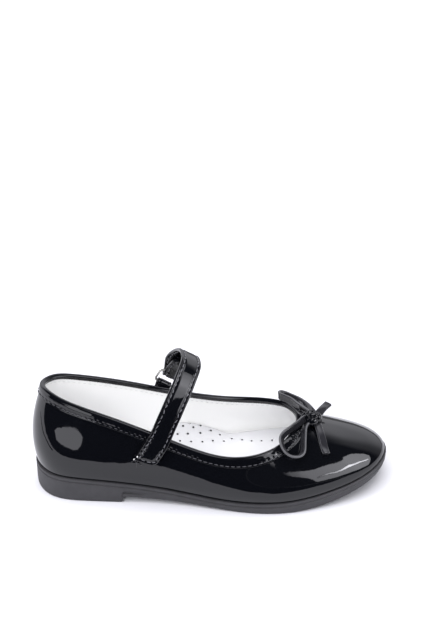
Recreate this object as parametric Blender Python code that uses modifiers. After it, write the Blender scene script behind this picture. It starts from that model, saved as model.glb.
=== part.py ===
"""Child's Mary Jane ballet flat in patent leather, for the right foot.

Units are metres in the scene and millimetres in the tables. +Z is up, +X runs to the toe and +Y to the
inner side of the foot. The origin is on the floor under the middle of the shoe. Lengths along the shoe
in the tables are measured from the back of the sole ("x from heel").
"""

from collections import namedtuple

import bpy
import numpy as np
from mathutils import Vector
from mathutils.bvhtree import BVHTree

MM = 0.001

# ---------------------------------------------------------------- driving sizes, in millimetres
SOLE_LENGTH = 205.0
MIDDLE_X = 102.085    # middle of the finished shoe's box, from the heel and from the middle line
MIDDLE_Y = -0.16
WALL = 1.6            # patent leather and lining together
GAP = 0.3             # air left between pieces that touch
LIP = 1.0             # how far the sole stands out past the upper's foot
MARGIN = 7.0          # lasting margin turned in under the insole
MARGIN_TURN = 1.2     # where the margin's turn ends
BAND_DEPTH = 5.4      # collar band, down the outside of the wall
BAND_RETURN = 2.0     # collar band, down the inside of the wall
BAND_THICK = 0.5
COLUMNS_PER_RIB = 4
BAND_ROWS = (0.0, 2.0, 4.0, BAND_DEPTH)   # depths that have a row of points
WALL_SHARES = (0.3, 0.45, 0.6, 0.72, 0.83, 0.92, 1.0)   # then shares of the way down

INSOLE_TOP = 4.8      # top of the insole over the sole's top edge
INSOLE_EDGE = 0.6     # bevel round its top edge
INSOLE_CLEAR = 0.6    # between the insole's edge and the wall, in plan
INSOLE_LEAN = 1.3     # extra room for each mm that the wall leans in over the insole
STRAP_WIDTH = 12.4
STRAP_END_WIDTH = 9.0
STRAP_THICK = 2.0
STRAP_BEVEL = 0.4
STRAP_CLEAR = 1.0     # between the strap's sewn end and the upper, clear of the collar band too
STRAP_LEAN = 28.5     # degrees the strap's arch leans forward from upright
STRAP_FOOT_X = 67.5   # x from heel and height of the point where the arch's own heights start
STRAP_FOOT_Z = 35.0
STRAP_TURN = (-20, -165)   # degrees that the strap turns through round the ring's upper bar
STRAP_BLUNT = 0.4          # half length of the flat at the tip of the strap's rounded inner end
ARCH_STATIONS = 34
RETURN_STATIONS = 9
RING_WIRE = 1.5
RING_INSIDE = 11.0
RING_CORNER = 2.6
TAB_WIDTH = 8.8
TAB_THICK = 1.2
TAB_BEVEL = 0.25
TAB_CLEAR = 0.85      # between the tab and the upper, clear of the collar band too
TAB_TURN = (190, -10)         # degrees that the tab turns through round the ring's lower bar
TAB_ROUNDING = (1.6, 0.5)     # how far the first rows of its rounded ends stand in from its width
RIBBON_WIDTH = 4.8
RIBBON_THICK = 1.2
RIBBON_BEVEL = 0.2

COLLECTION = "mary_jane_flat"
CUTTERS = "helpers"

# ---------------------------------------------------------------- the last, as ribs round the foot
# Each rib climbs from the foot edge (where upper meets sole) to the topline as one cubic curve.
# swell: its lower handle, out past the foot edge and up. crown: its upper handle, out from and up or
# down from the topline. A rib's foot height comes from the sole's own side view.
Rib = namedtuple("Rib", "place foot_x foot_y top_x top_y top_z swell_out swell_up crown_out crown_up")
RIBS = (
    Rib("heel back",       1.1,   0.0,   6.2,   0.0, 65.1, 4.4, 17.8,  5.4, -15.9),
    Rib("heel, outer",     9.2, -16.3,  11.8, -10.0, 64.6, 4.4, 16.6,  3.6, -16.6),
    Rib("seat, outer",    27.3, -22.3,  24.8, -16.7, 60.9, 4.1, 14.3,  1.2, -17.6),
    Rib("waist, outer",   57.4, -24.3,  52.1, -22.3, 52.8, 4.0, 12.1,  1.0, -15.0),
    Rib("shank, outer",   86.5, -27.9,  81.1, -27.0, 42.3, 4.1, 11.0,  1.0, -12.0),
    Rib("joint, outer",  114.4, -33.7, 106.2, -30.9, 35.0, 4.2,  9.8,  1.0, -10.0),
    Rib("ball, outer",   141.0, -35.6, 126.8, -29.8, 34.8, 3.6,  9.3,  1.4,  -8.3),
    Rib("vamp, outer",   168.5, -29.0, 141.0, -21.5, 37.4, 2.9,  8.2,  6.6,  -4.3),
    Rib("toe, outer",    193.9, -15.0, 148.4, -10.1, 39.3, 2.0,  7.4, 15.6,  -2.0),
    Rib("toe tip",       203.9,   7.0, 151.8,   1.8, 39.5, 1.2,  7.1, 22.2,  -2.5),
    Rib("toe, inner",    193.2,  25.6, 150.6,  13.0, 38.3, 2.2,  8.2, 14.8,  -6.8),
    Rib("vamp, inner",   171.3,  33.5, 144.0,  23.3, 36.9, 3.0,  8.6,  6.4,  -9.0),
    Rib("ball, inner",   147.5,  35.5, 129.2,  29.1, 35.8, 3.8,  9.4,  2.0, -10.0),
    Rib("joint, inner",  118.8,  31.4, 108.5,  28.8, 37.2, 4.3, 10.0,  1.1,  -9.7),
    Rib("shank, inner",   88.0,  25.1,  82.3,  24.8, 44.0, 4.2, 11.1,  1.1, -11.0),
    Rib("waist, inner",   57.0,  23.5,  52.2,  20.7, 53.3, 4.0, 12.1,  1.1, -13.7),
    Rib("seat, inner",    26.9,  22.9,  24.3,  15.8, 60.9, 4.1, 14.3,  1.6, -16.6),
    Rib("heel, inner",     8.8,  16.8,  11.4,  10.0, 64.2, 4.4, 16.5,  3.7, -16.2),
)

# Side view of the sole: heights of its top edge and its underside, away from the heel block.
Side = namedtuple("Side", "place x top under")
SOLE_SIDE = (
    Side("heel back",    0.0, 16.0,  3.6),
    Side("seat",        30.0, 14.7,  4.0),
    Side("breast",      51.0, 13.0,  3.8),
    Side("waist",       70.0, 10.9,  3.0),
    Side("shank",       90.0,  8.4,  1.9),
    Side("joint",      112.0,  6.6,  0.5),
    Side("ball",       128.0,  6.7,  0.0),
    Side("tread",      148.0,  7.4,  0.0),
    Side("toe spring", 168.0,  9.6,  2.1),
    Side("toe",        188.0, 13.0,  6.6),
    Side("toe tip",    205.0, 16.8, 11.6),
)
HEEL_BREAST = 51.0    # x from heel of the heel block's front face
BREAST_STEP = 0.0015  # share of the length that the heel's front face leans over, each way
BREAST_CLEAR = 0.008  # no other station this near to it

# Rings of the sole's side wall. out: past the foot edge. hangs: measured from the sole's top edge, or
# else from its underside.
SoleRing = namedtuple("SoleRing", "out hangs up")
SOLE_RINGS = (
    SoleRing(LIP - 0.5, True, 0.0),
    SoleRing(LIP, True, -0.4),
    SoleRing(LIP, True, -1.5),
    SoleRing(LIP - 0.5, True, -1.9),
    SoleRing(LIP - 0.5, True, -2.3),
    SoleRing(LIP - 0.1, True, -2.8),
    SoleRing(LIP - 0.4, False, 1.0),
    SoleRing(LIP - 1.2, False, 0.0),
)

# ---------------------------------------------------------------- strap, in its own leaning plane
# across: towards the inner side. up: up the plane from the strap's foot. aside: towards the toe.
StrapEnd = namedtuple("StrapEnd", "left_up right_up right_aside")
STRAP_END = (
    StrapEnd(-7.2, -5.6, 0.4),
    StrapEnd(-7.0, -5.2, 2.6),
    StrapEnd(-6.4, -4.3, 4.4),
    StrapEnd(-5.2, -2.8, 5.7),
    StrapEnd(-3.0, -0.6, 6.2),
    StrapEnd(0.0, 1.6, 6.2),
    StrapEnd(4.0, 4.6, 6.2),
    StrapEnd(7.2, 7.2, 6.2),
    StrapEnd(10.4, 10.4, 6.2),
)
Arch = namedtuple("Arch", "place across up aside")
STRAP_ARCH = (
    Arch("above the rim",  -27.5, 16.5, -0.4),
    Arch("rising",         -26.6, 22.0, -1.0),
    Arch("rising",         -24.4, 28.4, -1.3),
    Arch("turning in",     -20.8, 34.8, -1.4),
    Arch("shoulder",       -16.0, 40.8, -1.3),
    Arch("shoulder",       -10.2, 45.7, -1.1),
    Arch("crest",           -3.8, 49.2, -0.6),
    Arch("crest",            2.8, 49.8, -0.6),
    Arch("crest",            9.2, 48.4, -0.9),
    Arch("shoulder",        15.4, 44.9, -1.4),
    Arch("shoulder",        20.6, 40.1, -1.7),
    Arch("falling",         24.4, 34.6, -1.8),
    Arch("falling",         26.8, 29.0, -1.2),
    Arch("above the ring",  28.0, 25.0, -0.4),
)
STRAP_RETURN = (
    Arch("past the ring",   24.2, 24.4,  0.0),
    Arch("closing up",      24.3, 27.0,  0.0),
    Arch("against itself",  22.5, 32.0,  0.0),
    Arch("end",             19.9, 36.8,  0.0),
)
NARROW_FROM = 31.0            # the strap narrows from this far up the plane, on the inner side, to the ring
RING_TOP_BAR = (26.2, 23.4)   # across, up
RING_LOW_BAR = (27.9, 14.2)
TAB_UPS = (-7.0, -6.0, -4.6, -1.0, 2.0, 4.5, 6.5, 8.5, 10.5)

# ---------------------------------------------------------------- bow, over the vamp
# z: height of the ribbon's middle. turn: degrees from standing on edge to lying flat.
Ribbon = namedtuple("Ribbon", "x y z turn")
KNOT_PLACE = (161.2, 0.6, 41.6)
KNOT_SIZE = (9.4, 9.0, 6.0)
KNOT_FULLNESS = 0.75     # 1 would be an ellipsoid, and less is fuller at the top and the bottom
KNOT_SIDES = 16
KNOT_RINGS = 9
OUTER_LOOP = (
    Ribbon(160.4,  -1.0, 42.6, 50), Ribbon(155.4,  -4.8, 43.2, 30), Ribbon(150.4, -10.4, 43.2, 8),
    Ribbon(145.0, -16.0, 42.8, 4), Ribbon(141.2, -21.0, 41.5, 14), Ribbon(141.8, -26.4, 38.3, 32),
    Ribbon(147.2, -29.4, 34.8, 40), Ribbon(152.8, -28.0, 33.8, 36), Ribbon(155.8, -22.4, 36.2, 30),
    Ribbon(157.0, -15.0, 39.2, 30), Ribbon(158.6,  -7.5, 41.2, 40), Ribbon(161.0,  -2.0, 41.4, 60),
)
INNER_LOOP = (
    Ribbon(160.4,   2.0, 42.6, -50), Ribbon(156.2,   5.4, 43.3, -30), Ribbon(151.4,  11.0, 43.3, -8),
    Ribbon(146.4,  17.4, 42.9, 0), Ribbon(142.6,  23.0, 41.7, 0), Ribbon(144.0,  26.2, 40.4, 0),
    Ribbon(148.8,  25.8, 38.8, 0), Ribbon(153.4,  22.0, 38.6, -5), Ribbon(156.6,  15.8, 39.9, -10),
    Ribbon(159.0,   9.0, 41.1, -30), Ribbon(161.0,   3.0, 41.4, -60),
)
OUTER_TAIL = (
    Ribbon(162.0,  -1.0, 40.1, 80), Ribbon(163.4,  -7.0, 38.6, 86), Ribbon(164.8, -13.0, 36.4, 90),
    Ribbon(166.8, -21.4, 30.8, 90),
)
INNER_TAIL = (
    Ribbon(162.0,   2.0, 40.3, -80), Ribbon(164.8,   6.2, 40.4, -86), Ribbon(167.6,  10.4, 40.9, -90),
    Ribbon(170.6,  14.6, 41.0, -90),
)
BOW_STRIPS = (
    # name, rows, way up of a standing ribbon, rings of points
    ("bow outer loop", OUTER_LOOP, (0.05, -0.25, 1.0), 44),
    ("bow inner loop", INNER_LOOP, (0.05, 0.15, 1.0), 40),
    ("bow outer tail", OUTER_TAIL, (0.35, -0.45, 1.0), 12),
    ("bow inner tail", INNER_TAIL, (0.35, 0.35, 1.0), 12),
)


# ---------------------------------------------------------------- curves through the tables
def smooth_slopes(knots, values, period=None):
    """Slopes at the knots of the spline with continuous curvature, closed if period is given."""
    n = len(knots)
    values = np.asarray(values, float)
    if period:
        gaps = np.diff(np.append(knots, knots[0] + period))
        rises = (np.roll(values, -1, axis=0) - values) / gaps[:, None]
        matrix = np.zeros((n, n))
        right = np.zeros_like(values)
        for i in range(n):
            before, after = gaps[i - 1], gaps[i]
            matrix[i, i - 1] += after
            matrix[i, i] += 2 * (before + after)
            matrix[i, (i + 1) % n] += before
            right[i] = 3 * (after * rises[i - 1] + before * rises[i])
        return np.linalg.solve(matrix, right)
    gaps = np.diff(knots)
    rises = np.diff(values, axis=0) / gaps[:, None]
    matrix = np.eye(n) * 2
    right = np.zeros_like(values)
    matrix[0, 1] = matrix[-1, -2] = 1
    right[0], right[-1] = 3 * rises[0], 3 * rises[-1]
    for i in range(1, n - 1):
        before, after = gaps[i - 1], gaps[i]
        matrix[i] = 0
        matrix[i, i - 1 : i + 2] = after, 2 * (before + after), before
        right[i] = 3 * (after * rises[i - 1] + before * rises[i])
    return np.linalg.solve(matrix, right)


def smooth_curve(knots, values, where, period=None):
    """The spline through values at knots, read at where."""
    knots = np.asarray(knots, float)
    values = np.asarray(values, float)
    flat = values.ndim == 1
    if flat:
        values = values[:, None]
    slopes = smooth_slopes(knots, values, period)
    where = np.atleast_1d(np.asarray(where, float))
    if period:
        where = np.mod(where - knots[0], period) + knots[0]
        knots = np.append(knots, knots[0] + period)
        values = np.vstack([values, values[:1]])
        slopes = np.vstack([slopes, slopes[:1]])
    i = np.clip(np.searchsorted(knots, where, side="right") - 1, 0, len(knots) - 2)
    gap = (knots[i + 1] - knots[i])[:, None]
    t = (where[:, None] - knots[i][:, None]) / gap
    curve = (
        (2 * t**3 - 3 * t**2 + 1) * values[i]
        + (t**3 - 2 * t**2 + t) * gap * slopes[i]
        + (3 * t**2 - 2 * t**3) * values[i + 1]
        + (t**3 - t**2) * gap * slopes[i + 1]
    )
    return curve[:, 0] if flat else curve


def plan_normals(loop):
    """Unit outward directions in plan along a closed loop that runs heel, outer side, toe, inner side."""
    along = np.roll(loop, -1, axis=0) - np.roll(loop, 1, axis=0)
    out = np.stack([along[:, 1], -along[:, 0]], axis=1)
    return out / np.linalg.norm(out, axis=1)[:, None]


RIB_NUMBERS = np.array([rib[1:] for rib in RIBS], float)
RIB_KNOTS = np.arange(len(RIBS), dtype=float)
SIDE_X = np.array([row.x for row in SOLE_SIDE])
SIDE_TOP = np.array([row.top for row in SOLE_SIDE])
SIDE_UNDER = np.array([row.under for row in SOLE_SIDE])


def sole_top(x):
    return smooth_curve(SIDE_X, SIDE_TOP, x)


def sole_under(x):
    return smooth_curve(SIDE_X, SIDE_UNDER, x)


def rib_columns(per_rib=COLUMNS_PER_RIB):
    """Places round the foot, in ribs, where the upper has a column of points."""
    return np.arange(len(RIBS) * per_rib) / per_rib


def rib_handles(columns):
    """The four control points of the rib at each column, in mm from the heel."""
    numbers = smooth_curve(RIB_KNOTS, RIB_NUMBERS, columns, period=len(RIBS))
    step = 1e-3
    ahead = smooth_curve(RIB_KNOTS, RIB_NUMBERS, np.asarray(columns) + step, period=len(RIBS))
    along = (ahead - numbers) / step

    def outward(dx, dy):
        out = np.stack([dy, -dx, np.zeros_like(dx)], axis=1)
        return out / np.linalg.norm(out, axis=1)[:, None]

    foot_out, top_out = outward(along[:, 0], along[:, 1]), outward(along[:, 2], along[:, 3])
    up = np.array([0.0, 0.0, 1.0])
    foot = np.stack([numbers[:, 0], numbers[:, 1], sole_top(numbers[:, 0]) + GAP], axis=1)
    top = numbers[:, 2:5]
    swell = foot + numbers[:, 5:6] * foot_out + numbers[:, 6:7] * up
    crown = top + numbers[:, 7:8] * top_out + numbers[:, 8:9] * up
    return foot, swell, crown, top


def rib_curves(columns, samples=49):
    """Points along each rib from the foot up, [column, sample, xyz], and lengths down from the topline."""
    foot, swell, crown, top = (p[:, None, :] for p in rib_handles(columns))
    t = np.linspace(0, 1, samples)[None, :, None]
    curve = (1 - t) ** 3 * foot + 3 * t * (1 - t) ** 2 * swell + 3 * t**2 * (1 - t) * crown + t**3 * top
    pieces = np.linalg.norm(np.diff(curve, axis=1), axis=2)
    run = np.concatenate([np.zeros((len(curve), 1)), np.cumsum(pieces, axis=1)], axis=1)
    return curve, run[:, -1:] - run


def wall_points(columns, depths, shares=()):
    """Points of the upper's outer face, [row, column, xyz]: rows at some mm down each rib from the topline,
    then rows at a share of the way down to the foot."""
    curve, depth = rib_curves(columns)
    lengths = depth[:, 0]
    wanted = [np.full(len(lengths), float(d)) for d in depths] + [lengths * share for share in shares]
    rows = []
    for row in wanted:
        down_to_up = zip(row, depth[:, ::-1], curve[:, ::-1])
        rows.append([[np.interp(d, ds, points[:, k]) for k in range(3)] for d, ds, points in down_to_up])
    return np.array(rows)


# ---------------------------------------------------------------- turning points into objects
def to_scene(points):
    """Millimetres from the heel to metres from the origin."""
    return (np.asarray(points, float) - [MIDDLE_X, MIDDLE_Y, 0]) * MM


def from_scene(point):
    """Metres from the origin to millimetres from the heel."""
    return np.array(point) / MM + [MIDDLE_X, MIDDLE_Y, 0]


def material(name, colour, roughness, metallic=0.0, coat=0.0):
    made = bpy.data.materials.new(name)
    made.use_nodes = True
    shader = made.node_tree.nodes["Principled BSDF"]
    shader.inputs["Base Color"].default_value = (*colour, 1)
    shader.inputs["Roughness"].default_value = roughness
    shader.inputs["Metallic"].default_value = metallic
    shader.inputs["Coat Weight"].default_value = coat
    made.diffuse_color = (*colour, 1)
    return made


def add_mesh(name, points, faces, look):
    mesh = bpy.data.meshes.new(name)
    mesh.from_pydata([tuple(p) for p in points], [], faces)
    mesh.materials.append(look)
    mesh.shade_smooth()
    piece = bpy.data.objects.new(name, mesh)
    bpy.data.collections[COLLECTION].objects.link(piece)
    return piece


def band_faces(rows, columns, closed_rows=False):
    """Quads between neighbouring rows of a grid whose columns close on themselves."""
    faces = []
    for r in range(rows if closed_rows else rows - 1):
        low, high = r * columns, ((r + 1) % rows) * columns
        for c in range(columns):
            after = (c + 1) % columns
            faces.append((low + c, low + after, high + after, high + c))
    return faces


def strip_faces(start, stations, flip):
    """Quads straight across a closed ring of 2 * stations - 2 points, from one side to the other."""
    count = 2 * stations - 2
    faces = []
    for i in range(stations - 1):
        corners = [start + i, start + i + 1, start + (count - i - 1) % count, start + (count - i) % count]
        corners = list(dict.fromkeys(corners))
        faces.append(tuple(corners[::-1] if flip else corners))
    return faces


# ---------------------------------------------------------------- outsole
def foot_outline(shares, out=0.0):
    """The foot edge moved out by some mm, as a ring with its two sides at the same stations."""
    fine = np.linspace(0, len(RIBS), 721)[:-1]
    loop = smooth_curve(RIB_KNOTS, RIB_NUMBERS[:, :2], fine, period=len(RIBS))
    loop = loop + out * plan_normals(loop)
    loop = np.roll(loop, -np.argmin(loop[:, 0]), axis=0)
    toe = np.argmax(loop[:, 0])
    outer, inner = loop[: toe + 1], np.vstack([loop[toe:], loop[:1]])[::-1]
    x = loop[0, 0] + (loop[toe, 0] - loop[0, 0]) * np.asarray(shares)
    outer_y = np.interp(x, outer[:, 0], outer[:, 1])
    inner_y = np.interp(x, inner[:, 0], inner[:, 1])
    ring = [(x[i], outer_y[i]) for i in range(len(x))]
    ring += [(x[i], inner_y[i]) for i in range(len(x) - 2, 0, -1)]
    return np.array(ring)


def station_shares(middle=20):
    """Shares of the length, close together at heel and toe where the outline turns."""
    return (1 - np.cos(np.linspace(0, np.pi, 2 * middle + 1))) / 2


def make_outsole(look):
    shares = station_shares()
    breast = HEEL_BREAST / SOLE_LENGTH
    shares = [share for share in shares if abs(share - breast) > BREAST_CLEAR]
    shares = np.array(sorted(shares + [breast - BREAST_STEP, breast + BREAST_STEP]))
    points = []
    for ring in SOLE_RINGS:
        outline = foot_outline(shares, ring.out)
        x = outline[:, 0]
        under = np.where(x < HEEL_BREAST, 0.0, np.maximum(sole_under(x), 0.0))
        height = sole_top(x) if ring.hangs else under
        points += [(px, py, pz + ring.up) for (px, py), pz in zip(outline, height)]
    n = len(shares)
    faces = [face[::-1] for face in band_faces(len(SOLE_RINGS), 2 * n - 2)]
    faces += strip_faces(0, n, flip=False)
    faces += strip_faces((len(SOLE_RINGS) - 1) * (2 * n - 2), n, flip=True)
    return add_mesh("outsole", to_scene(points), faces, look)


def insole_outline(inset):
    """The insole's edge, one point a column: inside the wall, and further in where the wall leans over it."""
    curve, _ = rib_curves(rib_columns())
    foot = curve[:, 0, :2]
    out = plan_normals(foot)
    height = sole_top(curve[:, 0, 0]) + INSOLE_TOP
    low = curve[:, :20]
    above = np.array([[np.interp(z, rib[:, 2], rib[:, k]) for k in (0, 1)] for rib, z in zip(low, height)])
    leaning = np.maximum(-((above - foot) * out).sum(axis=1), 0)
    return foot - out * (WALL + inset + INSOLE_LEAN * leaning)[:, None]


def make_insole(look):
    """A flat sheet that lies on the turned-in margin and follows the sole."""
    points = []
    for inset, up in ((0.0, WALL + 2 * GAP), (0.0, INSOLE_TOP - INSOLE_EDGE), (INSOLE_EDGE, INSOLE_TOP)):
        points += [(x, y, sole_top(x)[0] + up) for x, y in insole_outline(inset + INSOLE_CLEAR)]
    count = len(points) // 3
    faces = band_faces(3, count)
    faces += strip_faces(0, count // 2 + 1, flip=True)
    faces += strip_faces(2 * count, count // 2 + 1, flip=False)
    return add_mesh("insole", to_scene(points), faces, look)


# ---------------------------------------------------------------- upper and its collar band
def make_upper(look):
    columns = rib_columns()
    wall = wall_points(columns, BAND_ROWS, WALL_SHARES)
    foot = wall[-1]
    inward = np.concatenate([-plan_normals(foot[:, :2]), np.zeros((len(foot), 1))], axis=1)
    margin = [foot + inward * reach for reach in (MARGIN_TURN, MARGIN)]
    for row in margin:
        row[:, 2] = sole_top(row[:, 0]) + GAP
    rows = np.concatenate([wall, margin])
    faces = [face[::-1] for face in band_faces(len(rows), len(columns))]
    piece = add_mesh("upper", to_scene(rows.reshape(-1, 3)), faces, look)
    shell = piece.modifiers.new("wall", "SOLIDIFY")
    shell.thickness = WALL * MM
    shell.offset = -1
    shell.use_even_offset = True
    return piece


def rim_frames(columns, depth):
    """Points at a depth below the topline, with the outward and upward directions of the wall there."""
    step = 0.02
    here, lower = wall_points(columns, (depth, depth + 0.5))
    ahead = wall_points(np.asarray(columns) + step, (depth,))[0]
    behind = wall_points(np.asarray(columns) - step, (depth,))[0]
    up = here - lower
    up /= np.linalg.norm(up, axis=1)[:, None]
    out = np.cross(ahead - behind, up)
    out /= np.linalg.norm(out, axis=1)[:, None]
    return here, out, up


def make_collar_band(look):
    """A folded strip over the topline: a long leg outside, a short one inside."""
    columns = rib_columns()
    near, far = GAP, GAP + BAND_THICK
    inside = WALL + GAP
    rows = []

    def add(depth, out, up=0.0):
        here, outward, upward = rim_frames(columns, depth)
        rows.append(here + out * outward + up * upward)

    for depth in BAND_ROWS[::-1]:
        add(depth, far)
    add(0.0, near, far)
    add(0.0, -inside, far)
    for depth in (0.0, BAND_RETURN):
        add(depth, -inside - BAND_THICK)
    for depth in (BAND_RETURN, 0.0):
        add(depth, -inside)
    add(0.0, -inside, near)
    add(0.0, near, near)
    for depth in BAND_ROWS:
        add(depth, near)
    faces = band_faces(len(rows), len(columns), closed_rows=True)
    return add_mesh("collar_band", to_scene(np.concatenate(rows)), faces, look)


# ---------------------------------------------------------------- finding the leather under an overlay
def leather_trees(pieces):
    graph = bpy.context.evaluated_depsgraph_get()
    return [BVHTree.FromObject(piece, graph) for piece in pieces]


def leather_hit(trees, start, direction):
    """Where a line from start first meets the leather, in mm from the heel."""
    start = Vector(to_scene(start))
    best = None
    for tree in trees:
        place, _, _, distance = tree.ray_cast(start, Vector(direction))
        if place is not None and (best is None or distance < best[1]):
            best = place, distance
    return None if best is None else from_scene(best[0])


# ---------------------------------------------------------------- long strips of leather, ribbon and wire
def unit(vectors):
    vectors = np.asarray(vectors, float)
    return vectors / np.linalg.norm(vectors, axis=-1, keepdims=True)


def slope_along(points, closed=False):
    if closed:
        return unit(np.roll(points, -1, axis=0) - np.roll(points, 1, axis=0))
    return unit(np.gradient(points, axis=0))


def strip_mesh(name, left, right, thick, bevel, look, closed=False):
    """A strip between two edges, each a row of points in mm, with its edges bevelled and its ends square."""
    left, right = np.asarray(left, float), np.asarray(right, float)
    middle = (left + right) / 2
    side = unit(right - left)
    over = unit(np.cross(side, slope_along(middle, closed)))
    half, flat = thick / 2, thick / 2 - bevel
    section = (
        (left, 0, -flat), (left, bevel, -half), (right, -bevel, -half), (right, 0, -flat),
        (right, 0, flat), (right, -bevel, half), (left, bevel, half), (left, 0, flat),
    )
    rings = np.stack([edge + side * aside + over * up for edge, aside, up in section], axis=1)
    count, around = rings.shape[:2]
    faces = [face[::-1] for face in band_faces(count, around, closed_rows=closed)]
    if not closed:
        faces += [tuple(range(around)), tuple(range(count * around - 1, (count - 1) * around - 1, -1))]
    return add_mesh(name, to_scene(rings.reshape(-1, 3)), faces, look)


def resampled(points, count):
    """The smooth curve through points, read at evenly spaced places."""
    points = np.asarray(points, float)
    knots = np.concatenate([[0], np.cumsum(np.linalg.norm(np.diff(points, axis=0), axis=1))])
    return smooth_curve(knots, points, np.linspace(0, knots[-1], count))


# ---------------------------------------------------------------- strap, ring and ring tab
def arch_point(across, up, aside=0.0):
    """A point of the strap's leaning plane: across the foot, up the plane, and aside towards the toe."""
    lean = np.radians(STRAP_LEAN)
    across, up, aside = np.broadcast_arrays(across, up, aside)
    return np.stack([
        STRAP_FOOT_X + up * np.sin(lean) + aside * np.cos(lean),
        across,
        STRAP_FOOT_Z + up * np.cos(lean) - aside * np.sin(lean),
    ], axis=-1).astype(float)


def against_wall(trees, up, aside, off, inner_side=False):
    """The point of the leaning plane moved across until it stands off the leather by some mm."""
    sign = 1.0 if inner_side else -1.0
    x, _, z = arch_point(0.0, up, aside)
    wall = leather_hit(trees, (x, 60.0 * sign, z), (0, -sign, 0))
    return np.array([x, wall[1] + sign * off, z])


def fold(centre, radius, start, stop, steps):
    """Points of the leaning plane round a bar, from one angle to another."""
    turn = np.radians(np.linspace(start, stop, steps))
    return [(centre[0] + radius * np.cos(a), centre[1] + radius * np.sin(a)) for a in turn]


def make_strap(trees, look):
    half, end_half = STRAP_WIDTH / 2, STRAP_END_WIDTH / 2
    left, right = [], []
    for row in STRAP_END:
        off = STRAP_CLEAR + STRAP_THICK / 2
        left.append(against_wall(trees, row.left_up, -half, off))
        right.append(against_wall(trees, row.right_up, row.right_aside, off))
    arch = resampled([row[1:] for row in STRAP_ARCH], ARCH_STATIONS)
    turn = fold(RING_TOP_BAR, RING_WIRE / 2 + GAP + STRAP_THICK / 2, *STRAP_TURN, 8)
    back = resampled([row[1:] for row in STRAP_RETURN], RETURN_STATIONS)
    narrowing = np.clip((NARROW_FROM - arch[:, 1]) / (NARROW_FROM - RING_TOP_BAR[1]), 0, 1)
    reach = np.where(arch[:, 0] > 0, half + (end_half - half) * narrowing, half)
    to_end = np.linalg.norm(back[-1] - back, axis=1) + STRAP_BLUNT
    rounded = np.sqrt(end_half**2 - np.maximum(end_half - to_end, 0) ** 2)
    reach = np.concatenate([reach, np.full(len(turn), end_half), rounded])
    turn = np.column_stack([turn, np.zeros(len(turn))])
    path = np.concatenate([arch, turn, back])
    left += list(arch_point(path[:, 0], path[:, 1], path[:, 2] - reach))
    right += list(arch_point(path[:, 0], path[:, 1], path[:, 2] + reach))
    return strip_mesh("strap", left, right, STRAP_THICK, STRAP_BEVEL, look)


def make_ring(look):
    """A rounded oblong of round wire: one long side in the strap's fold, the other in the tab's."""
    half = (RING_INSIDE + RING_WIRE) / 2
    top, bottom = np.array(RING_TOP_BAR), np.array(RING_LOW_BAR)
    height = np.linalg.norm(top - bottom)
    path = []
    for quarter, (aside, down) in enumerate(((1, 0), (1, 1), (-1, 1), (-1, 0))):
        middle = (aside * (half - RING_CORNER), RING_CORNER if down == 0 else height - RING_CORNER)
        for a in np.radians(np.linspace(-90, 0, 6) + 90 * quarter):
            path.append((middle[0] + RING_CORNER * np.cos(a), middle[1] + RING_CORNER * np.sin(a)))
    path = np.array(path)
    share = (path[:, 1] / height)[:, None]
    spots = top + (bottom - top) * share
    centres = arch_point(spots[:, 0], spots[:, 1], path[:, 0])
    along = slope_along(centres, closed=True)
    plane = unit(np.cross(arch_point(0, 0, 1) - arch_point(0, 0, 0), arch_point(*bottom) - arch_point(*top)))
    aside = unit(np.cross(along, plane))
    points, around = [], 10
    for centre, side in zip(centres, aside):
        for a in np.arange(around) * 2 * np.pi / around:
            points.append(centre + RING_WIRE / 2 * (np.cos(a) * side + np.sin(a) * plane))
    faces = [face[::-1] for face in band_faces(len(centres), around, closed_rows=True)]
    return add_mesh("strap_ring", to_scene(points), faces, look)


def make_ring_tab(trees, look):
    half = TAB_WIDTH / 2
    left, right = [], []
    inner = TAB_CLEAR + TAB_THICK / 2
    outer = inner + TAB_THICK + GAP
    insets = TAB_ROUNDING + (0.0,) * (len(TAB_UPS) - len(TAB_ROUNDING))

    def leg(ups, off, ends):
        for up, inset in zip(ups, ends):
            left.append(against_wall(trees, up, -half + inset, off, inner_side=True))
            right.append(against_wall(trees, up, half - inset, off, inner_side=True))

    leg(TAB_UPS, inner, insets)
    path = np.array(fold(RING_LOW_BAR, RING_WIRE / 2 + GAP + TAB_THICK / 2, *TAB_TURN, 9))
    left += list(arch_point(path[:, 0], path[:, 1], -half))
    right += list(arch_point(path[:, 0], path[:, 1], half))
    leg(TAB_UPS[::-1], outer, insets[::-1])
    return strip_mesh("ring_tab", left, right, TAB_THICK, TAB_BEVEL, look)


# ---------------------------------------------------------------- bow
def ribbon_edges(rows, up, count):
    """Edges of a ribbon from a table of places and turns from standing to lying."""
    curve = resampled([(row.x, row.y, row.z, row.turn) for row in rows], count)
    middle, turn = curve[:, :3], np.radians(curve[:, 3:4])
    along = slope_along(middle)
    stand = unit(np.asarray(up) - along * (along @ np.asarray(up))[:, None])
    lie = np.cross(along, stand)
    side = np.cos(turn) * stand + np.sin(turn) * lie
    return middle - side * RIBBON_WIDTH / 2, middle + side * RIBBON_WIDTH / 2


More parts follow.
